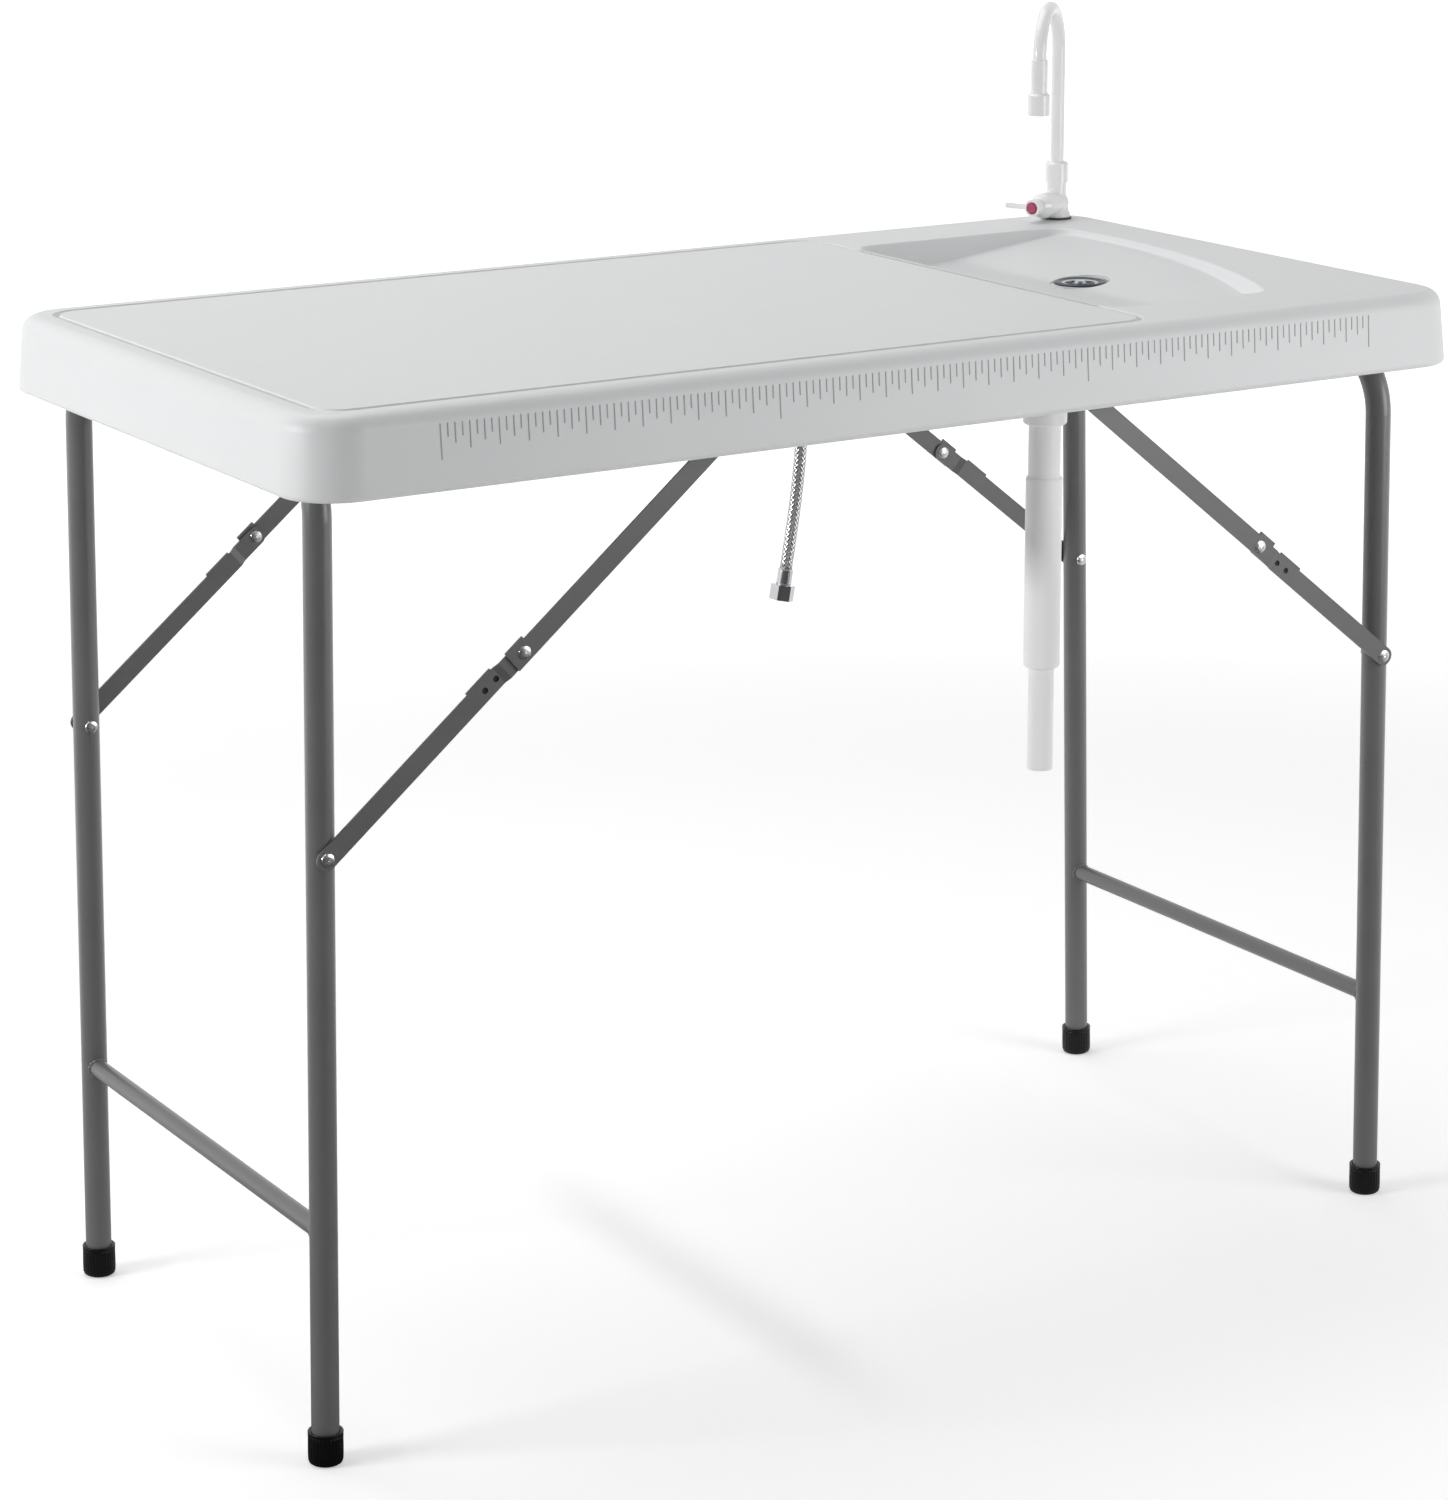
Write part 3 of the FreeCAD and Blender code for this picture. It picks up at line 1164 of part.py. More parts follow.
def hose_radii(points):
    radii = []
    for before, corner, after in zip(points, points[1:], points[2:]):
        turn = (corner - before).getAngle(after - corner)
        shorter = min((corner - before).Length, (after - corner).Length)
        radii.append(size("hose_round_share") * shorter / math.tan(turn / 2))
    return radii


def hose_path(points):
    """Straight runs joined by the largest tangent arcs that they allow."""
    edges = []
    start = points[0]
    for index, radius in enumerate(hose_radii(points)):
        before, corner, after = points[index:index + 3]
        back = (before - corner).normalize()
        ahead = (after - corner).normalize()
        reach = size("hose_round_share") * min((corner - before).Length, (after - corner).Length)
        first = corner + back * reach
        last = corner + ahead * reach
        bisector = (back + ahead).normalize()
        half_turn = (corner - before).getAngle(after - corner) / 2
        deep = corner + bisector * (radius / math.cos(half_turn) - radius)
        edges.append(Part.LineSegment(start, first).toShape())
        edges.append(Part.Arc(first, deep, last).toShape())
        start = last
    edges.append(Part.LineSegment(start, points[-1]).toShape())
    return Part.Wire(edges)


def make_hose():
    points = [Vector(*point) for point in HOSE_ROUTE]
    radius = size("hose_diameter / 2")
    path = hose_path(points)
    ring = Part.Wire([Part.Circle(points[0], points[1] - points[0], radius).toShape()])
    tube = path.makePipeShell([ring], True, False)
    name_part(shape_feature("supply_hose", tube), "supply_hose")
    section = math.pi * radius * radius
    print("hose radii", [round(value, 1) for value in hose_radii(points)])
    print("hose length %.1f, volume over section times length %.5f"
          % (path.Length, tube.Volume / (section * path.Length)))
    fitting_pieces("hose_inlet", points[0], points[0] - points[1], "inlet_nut_radius",
                   "(shank_radius + press_gap)", "(shank_radius + 2 * press_gap)")
    fitting_pieces("hose_outlet", points[-1], points[-1] - points[-2], "hose_nut_radius",
                   "hose_thread_radius", "nut_relief_radius")


def fitting_pieces(label, place, out, nut_radius, thread, relief):
    """The crimped ferrule on the hose, and the union nut and washer beyond it, along the hose's end."""
    out.normalize()
    turn = FreeCAD.Rotation(UP, out)
    ferrule = part_body(label + "_ferrule")
    tail = "hose_tail_radius"
    flange = "(hose_thread_radius - side_gap)"
    seat = "(ferrule_length + hose_nut_floor + side_gap)"
    face = "(%s + ferrule_flange)" % seat
    bore = "faucet_bore_radius"
    revolve(ferrule, [("0", "0"), ("ferrule_radius * ferrule_waist_share", "0"),
                      ("ferrule_radius", "ferrule_edge_share * ferrule_length"),
                      ("ferrule_radius", "(1 - ferrule_edge_share) * ferrule_length"),
                      (tail, "ferrule_length"), (tail, seat), (flange, seat), (flange, face),
                      (bore, face), (bore, "ferrule_bore_share * ferrule_length"),
                      ("0", "ferrule_bore_share * ferrule_length")])
    placed(ferrule, place.x, place.y, place.z, turn)
    washer = part_body(label + "_washer")
    revolve(washer, [(bore, "0"), (flange, "0"), (flange, "hose_seal_thickness"),
                     (bore, "hose_seal_thickness")])
    top = place + out * size(face)
    placed(washer, top.x, top.y, top.z, turn)
    nut = part_body(label + "_nut")
    sketch = new_sketch(nut, "XY_Plane")
    add_polygon(sketch, nut_radius, "hex_flats")
    add_circle(sketch, "0", "0", tail + " + running_clearance")
    pad(nut, sketch, "hose_nut_height")
    nut_mouth = "hose_nut_height + ferrule_length + side_gap / 2"
    free_thread = "(%s - %s)" % (nut_mouth, face + " - hose_seal_thickness")
    hollow = new_sketch(nut, "XY_Plane", "hose_nut_height")
    add_circle(hollow, "0", "0", thread)
    pocket_down(nut, hollow, "hose_nut_height - hose_nut_floor")
    chamber = new_sketch(nut, "XY_Plane", "hose_nut_floor")
    add_circle(chamber, "0", "0", relief)
    pocket_down(nut, chamber, "hose_nut_height - hose_nut_floor - " + free_thread, True)
    start = place + out * size("ferrule_length + side_gap / 2")
    placed(nut, start.x, start.y, start.z, turn)


def make_all():
    make_tabletop(make_shell())
    make_basin()
    make_screws("saddle")
    make_screws("bracket")
    make_top_rivets()
    for side in SIDES:
        make_saddles(side)
        make_brackets(side)
        make_leg_frame(side)
        make_crossbar(side)
        make_leg_rivets(side)
        for end in ENDS:
            make_foot(side, end)
            make_upper_link(side, end)
            make_lower_link(side, end)
            make_hinge_rivets(side, end)
    make_faucet()
    make_drain()
    make_hose()


def write_parts():
    doc.recompute()
    for thing in doc.Objects:
        assert not {"Invalid", "Error"} & set(thing.State), (thing.Name, thing.State)
    for label in labels:
        thing = doc.getObjectsByLabel(label)[0]
        assert not thing.Shape.isNull() and thing.Shape.isValid(), label
    for label in labels:
        doc.getObjectsByLabel(label)[0].Shape.exportStep("parts/%s.step" % label)


make_all()
write_parts()
print(len(labels), "parts")
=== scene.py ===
import math

import bmesh
import bpy
from mathutils import Matrix, Vector, noise


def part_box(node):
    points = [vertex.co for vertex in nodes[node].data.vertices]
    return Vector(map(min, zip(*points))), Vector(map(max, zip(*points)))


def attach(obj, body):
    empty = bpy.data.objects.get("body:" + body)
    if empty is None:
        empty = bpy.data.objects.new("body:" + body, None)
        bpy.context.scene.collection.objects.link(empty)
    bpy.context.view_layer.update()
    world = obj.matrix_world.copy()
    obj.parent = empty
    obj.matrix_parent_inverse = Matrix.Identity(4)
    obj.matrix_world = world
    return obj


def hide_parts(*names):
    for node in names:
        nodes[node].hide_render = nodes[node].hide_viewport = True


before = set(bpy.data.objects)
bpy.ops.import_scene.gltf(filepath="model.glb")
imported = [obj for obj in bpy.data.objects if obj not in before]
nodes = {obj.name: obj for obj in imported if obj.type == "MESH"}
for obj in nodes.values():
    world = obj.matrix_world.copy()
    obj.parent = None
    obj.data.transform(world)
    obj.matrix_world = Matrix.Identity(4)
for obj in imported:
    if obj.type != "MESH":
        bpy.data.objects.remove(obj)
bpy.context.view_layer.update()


# The view: the table is seen from its front left corner and from a little above, with a long lens,
# so that its left end, its front and its whole worktop show. The picture is 1448 x 1500.
picture_width = 1448
picture_height = 1500
camera_place = Vector((-1.8581, -3.0071, 1.4560))
camera_turn = 0.5674
camera_tilt = 0.2673
camera_roll = 0.0006
camera_focus = 4065.6
camera_centre = (800, 726.2)
film_side = 36
camera = bpy.data.cameras.new("camera")
camera.sensor_width = film_side
camera.lens = camera_focus / picture_height * film_side
camera.shift_x = (picture_width / 2 - camera_centre[0]) / picture_height
camera.shift_y = (camera_centre[1] - picture_height / 2) / picture_height
camera.clip_end = 50
camera_object = bpy.data.objects.new("camera", camera)
camera_object.location = camera_place
camera_object.rotation_euler = (math.pi / 2 - camera_tilt, camera_roll, -camera_turn)
bpy.context.scene.collection.objects.link(camera_object)
bpy.context.scene.camera = camera_object


# Supply hose: a rubber tube in a sleeve of stainless wire braid. It leaves the faucet's shank
# straight down, turns up over a peg inside the back skirt and hangs down free behind the table.
class Signal:
    """A socket of a material's nodes. Sums with it add the Math nodes that they stand for."""

    def __init__(self, tree, socket=None):
        self.tree = tree
        self.socket = socket

    def add(self, kind, settings=None, inputs=None, output=0):
        """A new node of a type, with its settings, then its inputs, and the output that is read."""
        node = self.tree.nodes.new("ShaderNode" + kind)
        for name, value in (settings or {}).items():
            if name == "stops":
                while len(node.color_ramp.elements) < len(value):
                    node.color_ramp.elements.new(1)
                for element, (place, colour) in zip(node.color_ramp.elements, value):
                    element.position = place
                    element.color = (*colour, 1)
            else:
                setattr(node, name, value)
        for name, value in (inputs or {}).items():
            if isinstance(value, Signal):
                self.tree.links.new(value.socket, node.inputs[name])
            else:
                node.inputs[name].default_value = value
        return Signal(self.tree, node.outputs[output])

    def output(self, which):
        """Another output of the node that this signal comes from."""
        return Signal(self.tree, self.socket.node.outputs[which])

    def math(self, operation, *values):
        return self.add("Math", {"operation": operation}, dict(enumerate(values)))

    def __add__(self, other):
        return self.math("ADD", self, other)

    def __sub__(self, other):
        return self.math("SUBTRACT", self, other)

    def __rsub__(self, other):
        return self.math("SUBTRACT", other, self)

    def __mul__(self, other):
        return self.math("MULTIPLY", self, other)

    def __truediv__(self, other):
        return self.math("DIVIDE", self, other)

    def __mod__(self, other):
        return self.math("FLOORED_MODULO", self, other)

    def __pow__(self, other):
        return self.math("POWER", self, other)

    __radd__ = __add__
    __rmul__ = __mul__


def new_material(name, colour, roughness, **shader_values):
    """A material with one main shader, its even values set on the shader itself."""
    material = bpy.data.materials.new(name)
    material.use_nodes = True
    shader = material.node_tree.nodes["Principled BSDF"]
    shader.inputs["Base Color"].default_value = (*colour, 1)
    shader.inputs["Roughness"].default_value = roughness
    for socket, value in shader_values.items():
        shader.inputs[socket.replace("_", " ")].default_value = value
    return material


def signals(material):
    """The start of a material's sums."""
    return Signal(material.node_tree)


def object_place(material):
    """The place on the object, in metres, as the start of a material's sums."""
    return signals(material).add("TexCoord", output="Object")


def feed(material, socket, signal):
    """Leads a signal to a socket of the material's shader."""
    tree = material.node_tree
    tree.links.new(signal.socket, tree.nodes["Principled BSDF"].inputs[socket])


def grain(place, size, detail=2, roughness=0.5):
    """Noise from 0 to 1 whose lumps have about the size given, in metres."""
    return place.add("TexNoise", None, {"Vector": place, "Scale": 1 / size, "Detail": detail,
                                        "Roughness": roughness})


def relief(height, depth, strength=1.0):
    """A bump of a depth in metres, from a height between 0 and 1."""
    return height.add("Bump", None, {"Height": height, "Distance": depth, "Strength": strength})


def blend_colours(share, low, high):
    """One colour at share 0 and another at share 1."""
    return share.add("ValToRGB", {"stops": [(0, low), (1, high)]}, {"Fac": share})


def finished_mesh(name, shape):
    """The mesh of a shape that is done. The shape is freed."""
    mesh = bpy.data.meshes.new(name)
    shape.to_mesh(mesh)
    shape.free()
    return mesh


def new_piece(name, mesh, material, body):
    """A finished mesh as a piece that rides on a body."""
    mesh.materials.append(material)
    piece = bpy.data.objects.new(name, mesh)
    bpy.context.scene.collection.objects.link(piece)
    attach(piece, body)
    return piece


def carry(material, *names):
    """Gives CAD nodes that stay their finish."""
    for name in names:
        mesh = nodes[name].data
        if not mesh.materials:
            mesh.materials.append(material)
        for slot in nodes[name].material_slots:
            slot.material = material


hose_route = [(0.525, 0.259, 0.811), (0.525, 0.259, 0.758), (0.489, 0.261, 0.717), (0.432, 0.264, 0.710),
              (0.378, 0.2655, 0.743), (0.360, 0.266, 0.803), (0.313, 0.266, 0.833), (0.258, 0.266, 0.823),
              (0.224, 0.266, 0.777), (0.231, 0.266, 0.710), (0.224, 0.265, 0.630), (0.2095, 0.264, 0.556)]
hose_diameter = 0.0124
hose_sides = 24
hose_steps = 24
braid_wires = 10
braid_slope = 0.8
braid_depth = 0.0006

hose_line = bpy.data.curves.new("hose_line", "CURVE")
hose_line.dimensions = "3D"
hose_line.resolution_u = hose_steps
hose_spline = hose_line.splines.new("NURBS")
hose_spline.points.add(len(hose_route) - 1)
for point, place in zip(hose_spline.points, hose_route):
    point.co = (*place, 1)
hose_spline.order_u = 3
hose_spline.use_endpoint_u = True
hose_guide = bpy.data.objects.new("hose_guide", hose_line)
hose_path = [vertex.co.copy() for vertex in bpy.data.meshes.new_from_object(hose_guide).vertices]
bpy.data.objects.remove(hose_guide)


def tube_mesh(name, path, radius, sides):
    """A round tube along a path, with how far round and how far along, in metres, as its UV map."""
    shape = bmesh.new()
    laid_out = shape.loops.layers.uv.new("UVMap")
    heading = (path[1] - path[0]).normalized()
    side = heading.orthogonal().normalized()
    rings = []
    along = []
    travelled = 0
    for number, place in enumerate(path):
        before = path[max(number - 1, 0)]
        after = path[min(number + 1, len(path) - 1)]
        onward = (after - before).normalized()
        side = heading.rotation_difference(onward) @ side
        heading = onward
        travelled += (place - before).length
        up = heading.cross(side)
        rings.append([shape.verts.new(place + radius * (math.cos(angle) * side + math.sin(angle) * up))
                      for angle in (2 * math.pi * step / sides for step in range(sides))])
        along.append(travelled)
    for number in range(len(rings) - 1):
        for step in range(sides):
            following = (step + 1) % sides
            face = shape.faces.new((rings[number][step], rings[number][following],
                                    rings[number + 1][following], rings[number + 1][step]))
            face.smooth = True
            corners = ((step, number), (step + 1, number), (step + 1, number + 1), (step, number + 1))
            for loop, (turn, reach) in zip(face.loops, corners):
                loop[laid_out].uv = (turn / sides, along[reach])
    for ring in (rings[0][::-1], rings[-1]):
        shape.faces.new(ring)
    return finished_mesh(name, shape), travelled


def braid_finish():
    """Flat bundles of bright wire that cross over and under each other at a slant, with painted shade in
    the gaps between the wires.
    """
    material = new_material("braid_wire", (0.6, 0.6, 0.6), 0.3, Metallic=1.0)
    start = signals(material)
    map_place = start.add("TexCoord", output="UV")
    split = map_place.add("SeparateXYZ", None, {0: map_place})
    along = split.output(1)
    slope = braid_wires * braid_slope / (math.pi * hose_diameter)
    right_hand = split * braid_wires + along * slope
    left_hand = split * braid_wires - along * slope

    def crown(turn):
        across = (turn % 1.0) * 2 - 1
        return 1 - across * across

    parity = (right_hand.math("FLOOR", right_hand) + left_hand.math("FLOOR", left_hand)) % 2.0
    height = crown(right_hand) * parity + crown(left_hand) * (1 - parity)
    # Painted shade: the colour runs from near black in the gaps between the wires to bright on their
    # crowns.
    feed(material, "Base Color", blend_colours(height, (0.01, 0.01, 0.011), (0.85, 0.85, 0.86)))
    feed(material, "Normal", relief(height, braid_depth))
    return material


hose_mesh, hose_length = tube_mesh("supply_hose_braided", hose_path, hose_diameter / 2, hose_sides)
hose = new_piece("supply_hose_braided", hose_mesh, braid_finish(), "table")
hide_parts("supply_hose")


# Hose ends: brass ferrules and union nuts with a bright nickel plate. Each ferrule is crimped over
# the braid, and a nut turns on its flange. The black rubber washers lie inside the nuts.
smudge_size = 0.006
plate_grain = 0.0012
plate_relief = 0.00004
rubber_blotch = 0.004
rubber_grain = 0.0006
rubber_relief = 0.00006


def plated_finish():
    """Nickel plate: bright, with smudges and a trace of wear."""
    material = new_material("nickel_plate", (0.6, 0.6, 0.62), 0.16, Metallic=1.0)
    place = object_place(material)
    smudge = grain(place, smudge_size)
    feed(material, "Roughness", smudge * 0.14 + 0.1)
    feed(material, "Normal", relief(grain(place, plate_grain), plate_relief))
    return material


def rubber_finish(name, colour, roughness, **shader_values):
    """Rubber or soft vinyl: one colour, a little blotchy in its gloss, with a fine grain."""
    material = new_material(name, colour, roughness, **shader_values)
    place = object_place(material)
    feed(material, "Roughness", grain(place, rubber_blotch) * 0.2 + roughness - 0.1)
    feed(material, "Normal", relief(grain(place, rubber_grain, 3), rubber_relief))
    return material


carry(plated_finish(), "hose_inlet_ferrule", "hose_inlet_nut", "hose_outlet_ferrule", "hose_outlet_nut")
carry(rubber_finish("washer_rubber", (0.02, 0.02, 0.02), 0.6), "hose_inlet_washer", "hose_outlet_washer",
      "drain_seal")


# Table top: one blow-moulded shell of white high-density polyethylene. The mould's etched grain
# covers it, and broad shallow hollows show where the plastic shrank as it cooled.
# Painted shade: the groove round the cutting area is darkened in the plastic's colour, standing in for
# the shade in it.
groove_left = -0.5395
groove_right = 0.2423
groove_side = 0.27
groove_corner = 0.026
groove_half = 0.0035
groove_level = 0.870
shade_inner = groove_half / 5
shade_outer = 0.8 * groove_half


def groove_painted_shade(place):
    """Painted shade in the groove round the cutting area: 1 along its bottom and 0 beside it."""
    along = place.add("SeparateXYZ", None, {0: place})
    across = along.output(1)
    height = along.output(2)
    beyond = []
    for away, reach in ((along - (groove_left + groove_right) / 2, (groove_right - groove_left) / 2),
                        (across, groove_side)):
        beyond.append(away.math("ABSOLUTE", away) - (reach - groove_corner))
    outside = [away.math("MAXIMUM", away, 0) for away in beyond]
    inside = beyond[0].math("MAXIMUM", *beyond)
    reach = (outside[0] * outside[0] + outside[1] * outside[1]) ** 0.5
    gap = reach + inside.math("MINIMUM", inside, 0) - groove_corner
    groove_shade = gap.add("MapRange", {"interpolation_type": "SMOOTHSTEP"},
                   {"Value": gap.math("ABSOLUTE", gap), "From Min": shade_inner,
                    "From Max": shade_outer, "To Min": 1, "To Max": 0})
    return groove_shade * height.math("GREATER_THAN", height, groove_level)


etch_size = 0.0009
wave_size = 0.11
wave_depth = 0.0012
scuff_size = 0.05
scuff_stretch = (1, 6, 3)
hollow_share = 0.965
groove_shade_share = 0.38


def moulded_finish(name, colour, roughness, etch_depth=0.00006, shaded_by=None):
    """White moulded plastic: etched grain, faint waves and a few fine scuffs, and painted shade where it
    is given.
    """
    material = new_material(name, colour, roughness)
    place = object_place(material)
    etch = grain(place, etch_size, 3, 0.6)
    wave = grain(place, wave_size, 1)
    stretched = place.add("Mapping", None, {"Vector": place, "Scale": scuff_stretch})
    scuff = grain(stretched, scuff_size, 4, 0.7)
    darker = tuple(hollow_share * part for part in colour)
    tint = wave * 0.6 + etch * 0.4
    # Where painted shade is given, the colour darkens there towards a dark grey.
    if shaded_by:
        painted_shade = tuple(groove_shade_share * part for part in colour)
        shade = tint * 0.5 + 0.5 - shaded_by(place) * 0.5
        stops = [(0, painted_shade), (0.5, darker), (1, colour)]
        feed(material, "Base Color", shade.add("ValToRGB", {"stops": stops}, {"Fac": shade}))
    else:
        feed(material, "Base Color", blend_colours(tint, darker, colour))
    feed(material, "Roughness", scuff * 0.16 + roughness - 0.08)
    fine = relief(etch, etch_depth)
    broad = wave.add("Bump", None, {"Height": wave, "Distance": wave_depth, "Normal": fine})
    feed(material, "Normal", broad)
    return material


table_plastic = moulded_finish("table_plastic", (0.77, 0.78, 0.785), 0.46, shaded_by=groove_painted_shade)
carry(table_plastic, "tabletop", "sink_basin")


# Ruler: fine bars moulded on the front of the skirt, a quarter of an inch apart over three feet.
# Every inch, half inch and foot has a longer bar. They stand a little proud of the plastic.
inch = 0.0254
ruler_feet = 3
bars_per_inch = 4
ruler_start = -0.456
ruler_top = 0.8625
bar_lengths = {12 * bars_per_inch: 0.028, bars_per_inch: 0.021, bars_per_inch // 2: 0.016, 1: 0.011}
bar_width = 0.0008
bar_rise = 0.00035
skirt_bottom = 0.8095
skirt_foot = 0.302
skirt_lean = math.radians(4.4)


def make_ruler():
    shape = bmesh.new()
    for number in range(ruler_feet * 12 * bars_per_inch + 1):
        length = next(length for step, length in bar_lengths.items() if number % step == 0)
        height = ruler_top - length / 2
        face = skirt_foot - (height - skirt_bottom) * math.tan(skirt_lean)
        place = Matrix.Translation((ruler_start + number * inch / bars_per_inch, -face, height))
        lean = Matrix.Rotation(-skirt_lean, 4, "X")
        stretch = Matrix.Diagonal((bar_width, 2 * bar_rise, length, 1))
        bmesh.ops.create_cube(shape, size=1, matrix=place @ lean @ stretch)
    return finished_mesh("edge_ruler", shape)


# Painted shade: the bars are a darker grey than the plastic, standing in for the shade along their sides.
ruler_finish = moulded_finish("ruler_grey", (0.42, 0.43, 0.44), 0.5)
ruler = new_piece("edge_ruler", make_ruler(), ruler_finish, "table")


# Saddles: white moulded clips screwed under the panel. Each holds the top tube of a leg frame
# and lets it turn. Their screws and those of the brackets are zinc-plated steel.
zinc_bloom = 0.003
zinc_grain = 0.0008
zinc_relief = 0.00005


def zinc_finish():
    """Zinc plate: bright, with a soft cloudy bloom."""
    material = new_material("zinc_plate", (0.66, 0.67, 0.69), 0.28, Metallic=1.0)
    place = object_place(material)
    cloud = grain(place, zinc_bloom, 3)
    feed(material, "Roughness", cloud * 0.25 + 0.14)
    feed(material, "Base Color", blend_colours(cloud, (0.5, 0.51, 0.53), (0.8, 0.81, 0.82)))
    feed(material, "Normal", relief(grain(place, zinc_grain, 2), zinc_relief))
    return material


zinc_plate = zinc_finish()
carry(moulded_finish("saddle_plastic", (0.72, 0.73, 0.735), 0.5, etch_depth=0.00003),
      "left_saddles", "right_saddles")
carry(zinc_plate, "saddle_screws", "bracket_screws")


# Leg frames: each a single steel tube bent to a U, with a thinner crossbar welded between its
# legs. Frames, links and brackets have a dark grey powder coat with a fine orange-peel surface.
peel_size = 0.0011
peel_relief = 0.00008
tone_size = 0.06
speck_size = 0.0005


def powder_finish(name, low, high, roughness):
    """Powder coat: two close greys in clouds and specks, under a satin coat."""
    material = new_material(name, high, roughness, IOR=1.5, Coat_Weight=0.35, Coat_Roughness=0.3)
    place = object_place(material)
    peel = grain(place, peel_size, 2)
    tone = grain(place, tone_size, 3)
    speck = grain(place, speck_size, 1)
    feed(material, "Base Color", blend_colours(tone * 0.5 + speck * 0.5, low, high))
    feed(material, "Roughness", tone * 0.12 + roughness - 0.06)
    feed(material, "Normal", relief(peel, peel_relief))
    return material


powder_coat = powder_finish("powder_coat", (0.112, 0.112, 0.114), (0.165, 0.165, 0.168), 0.36)
carry(powder_coat, "left_leg_frame", "right_leg_frame", "left_crossbar", "right_crossbar",
      "left_brace_brackets", "right_brace_brackets")


# Weld beads: the lumpy rings where a crossbar's ends meet the leg tubes, under the same coat.
# Each follows the saddle that a round bar makes with a round tube.
leg_radius = 0.0115
leg_plane = 0.2325
crossbar_radius = 0.008
bead_radius = 0.0016
bead_steps = 64
bead_sides = 10
bead_lumps = 13
lump_height = 0.18
scatter_height = 0.2
scatter_fineness = 400


def make_weld_beads(side):
    lowest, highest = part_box(side + "_crossbar")
    centre = (Vector(lowest) + Vector(highest)) / 2
    shape = bmesh.new()
    for way in (-1, 1):
        ring = bmesh.ops.create_circle(shape, segments=bead_sides, radius=bead_radius,
                                       matrix=Matrix.Translation((crossbar_radius, 0, 0)))["verts"]
        edges = list({edge for vertex in ring for edge in vertex.link_edges})
        bmesh.ops.spin(shape, geom=ring + edges, cent=(0, 0, 0), axis=(0, 1, 0), steps=bead_steps,
                       angle=2 * math.pi, use_merge=True)
        beads = [vertex for vertex in shape.verts if not vertex.tag]
        for vertex in beads:
            vertex.tag = True
            turn = math.atan2(vertex.co.z, vertex.co.x)
            spine = Vector((math.cos(turn), 0, math.sin(turn))) * crossbar_radius
            scatter = scatter_height * noise.noise(vertex.co * scatter_fineness)
            lump = 1 + lump_height * math.sin(bead_lumps * turn) + scatter
            vertex.co = spine + (vertex.co - spine) * lump
            saddle = leg_plane - math.sqrt(leg_radius ** 2 - (crossbar_radius * math.cos(turn)) ** 2)
            vertex.co = Vector((vertex.co.x, way * (vertex.co.y + saddle), vertex.co.z)) + centre
    bmesh.ops.recalc_face_normals(shape, faces=shape.faces)
    for face in shape.faces:
        face.smooth = True
    return finished_mesh(side + "_weld_beads", shape)


for side in ("left", "right"):
    beads = new_piece(side + "_weld_beads", make_weld_beads(side), powder_coat, side + "_leg")


# Feet: black caps of glossy soft vinyl pushed over the tube ends. They are slightly barrel
# shaped with fine upright ribs, a rolled lip at the mouth and a rounded sole.
foot_height = 0.028
foot_ribs = 30
steps_per_rib = 3
rib_bottom = 0.003
rib_top = 0.0255
rib_reach = 0.0006
rib_inset = 0.00022
rib_rise = 0.0003
foot_radius = 0.0143
foot_lip_radius = 0.0147
foot_bore_radius = 0.0116
foot_lift = 0.0001
foot_splay = math.radians(1.45)
foot_outline = [(0, 0), (0.0104, 0), (0.0124, 0.0004), (0.0137, 0.0014), (0.0141, 0.003),
                (foot_radius, 0.008), (foot_radius, 0.016), (0.0142, 0.022), (0.0143, 0.0255),
                (foot_lip_radius, 0.0268), (foot_lip_radius, 0.0276), (0.0145, foot_height),
                (0.0122, 0.0277), (foot_bore_radius, 0.0266), (foot_bore_radius, 0.02)]


def make_foot(name, way):
    lowest, highest = (Vector(corner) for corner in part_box(name))
    shape = bmesh.new()
    corners = [shape.verts.new((reach, 0, height)) for reach, height in foot_outline]
    edges = [shape.edges.new(pair) for pair in zip(corners, corners[1:])]
    steps = steps_per_rib * foot_ribs
    bmesh.ops.spin(shape, geom=corners + edges, cent=(0, 0, 0), axis=(0, 0, 1), steps=steps,
                   angle=2 * math.pi, use_merge=True)
    bmesh.ops.remove_doubles(shape, verts=shape.verts, dist=0.00001)
    bmesh.ops.recalc_face_normals(shape, faces=shape.faces)
    columns = {}
    for face in shape.faces:
        face.smooth = True
        middle = face.calc_center_median()
        on_wall = math.hypot(middle.x, middle.y) > foot_radius - rib_reach
        if rib_bottom < middle.z < rib_top and on_wall:
            turn = math.floor((math.atan2(middle.y, middle.x) / (2 * math.pi) % 1) * steps)
            if turn % steps_per_rib != 0:
                columns.setdefault(turn // steps_per_rib, []).append(face)
    for faces in columns.values():
        bmesh.ops.inset_region(shape, faces=faces, thickness=rib_inset, depth=rib_rise,
                               use_even_offset=True)
    tilt = Matrix.Rotation(way * foot_splay, 4, "Y")
    centre = (lowest + highest) / 2 + Vector((0, 0, foot_lift))
    shape.transform(Matrix.Translation(centre) @ tilt @ Matrix.Translation((0, 0, -foot_height / 2)))
    return finished_mesh(name + "_cap", shape)


foot_vinyl = rubber_finish("foot_vinyl", (0.004, 0.004, 0.0045), 0.24, Specular_IOR_Level=0.2)
for side, way in (("left", 1), ("right", -1)):
    for end in ("front", "back"):
        name = "%s_%s_foot" % (side, end)
        foot = new_piece(name + "_cap", make_foot(name, way), foot_vinyl, side + "_leg")
        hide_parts(name)


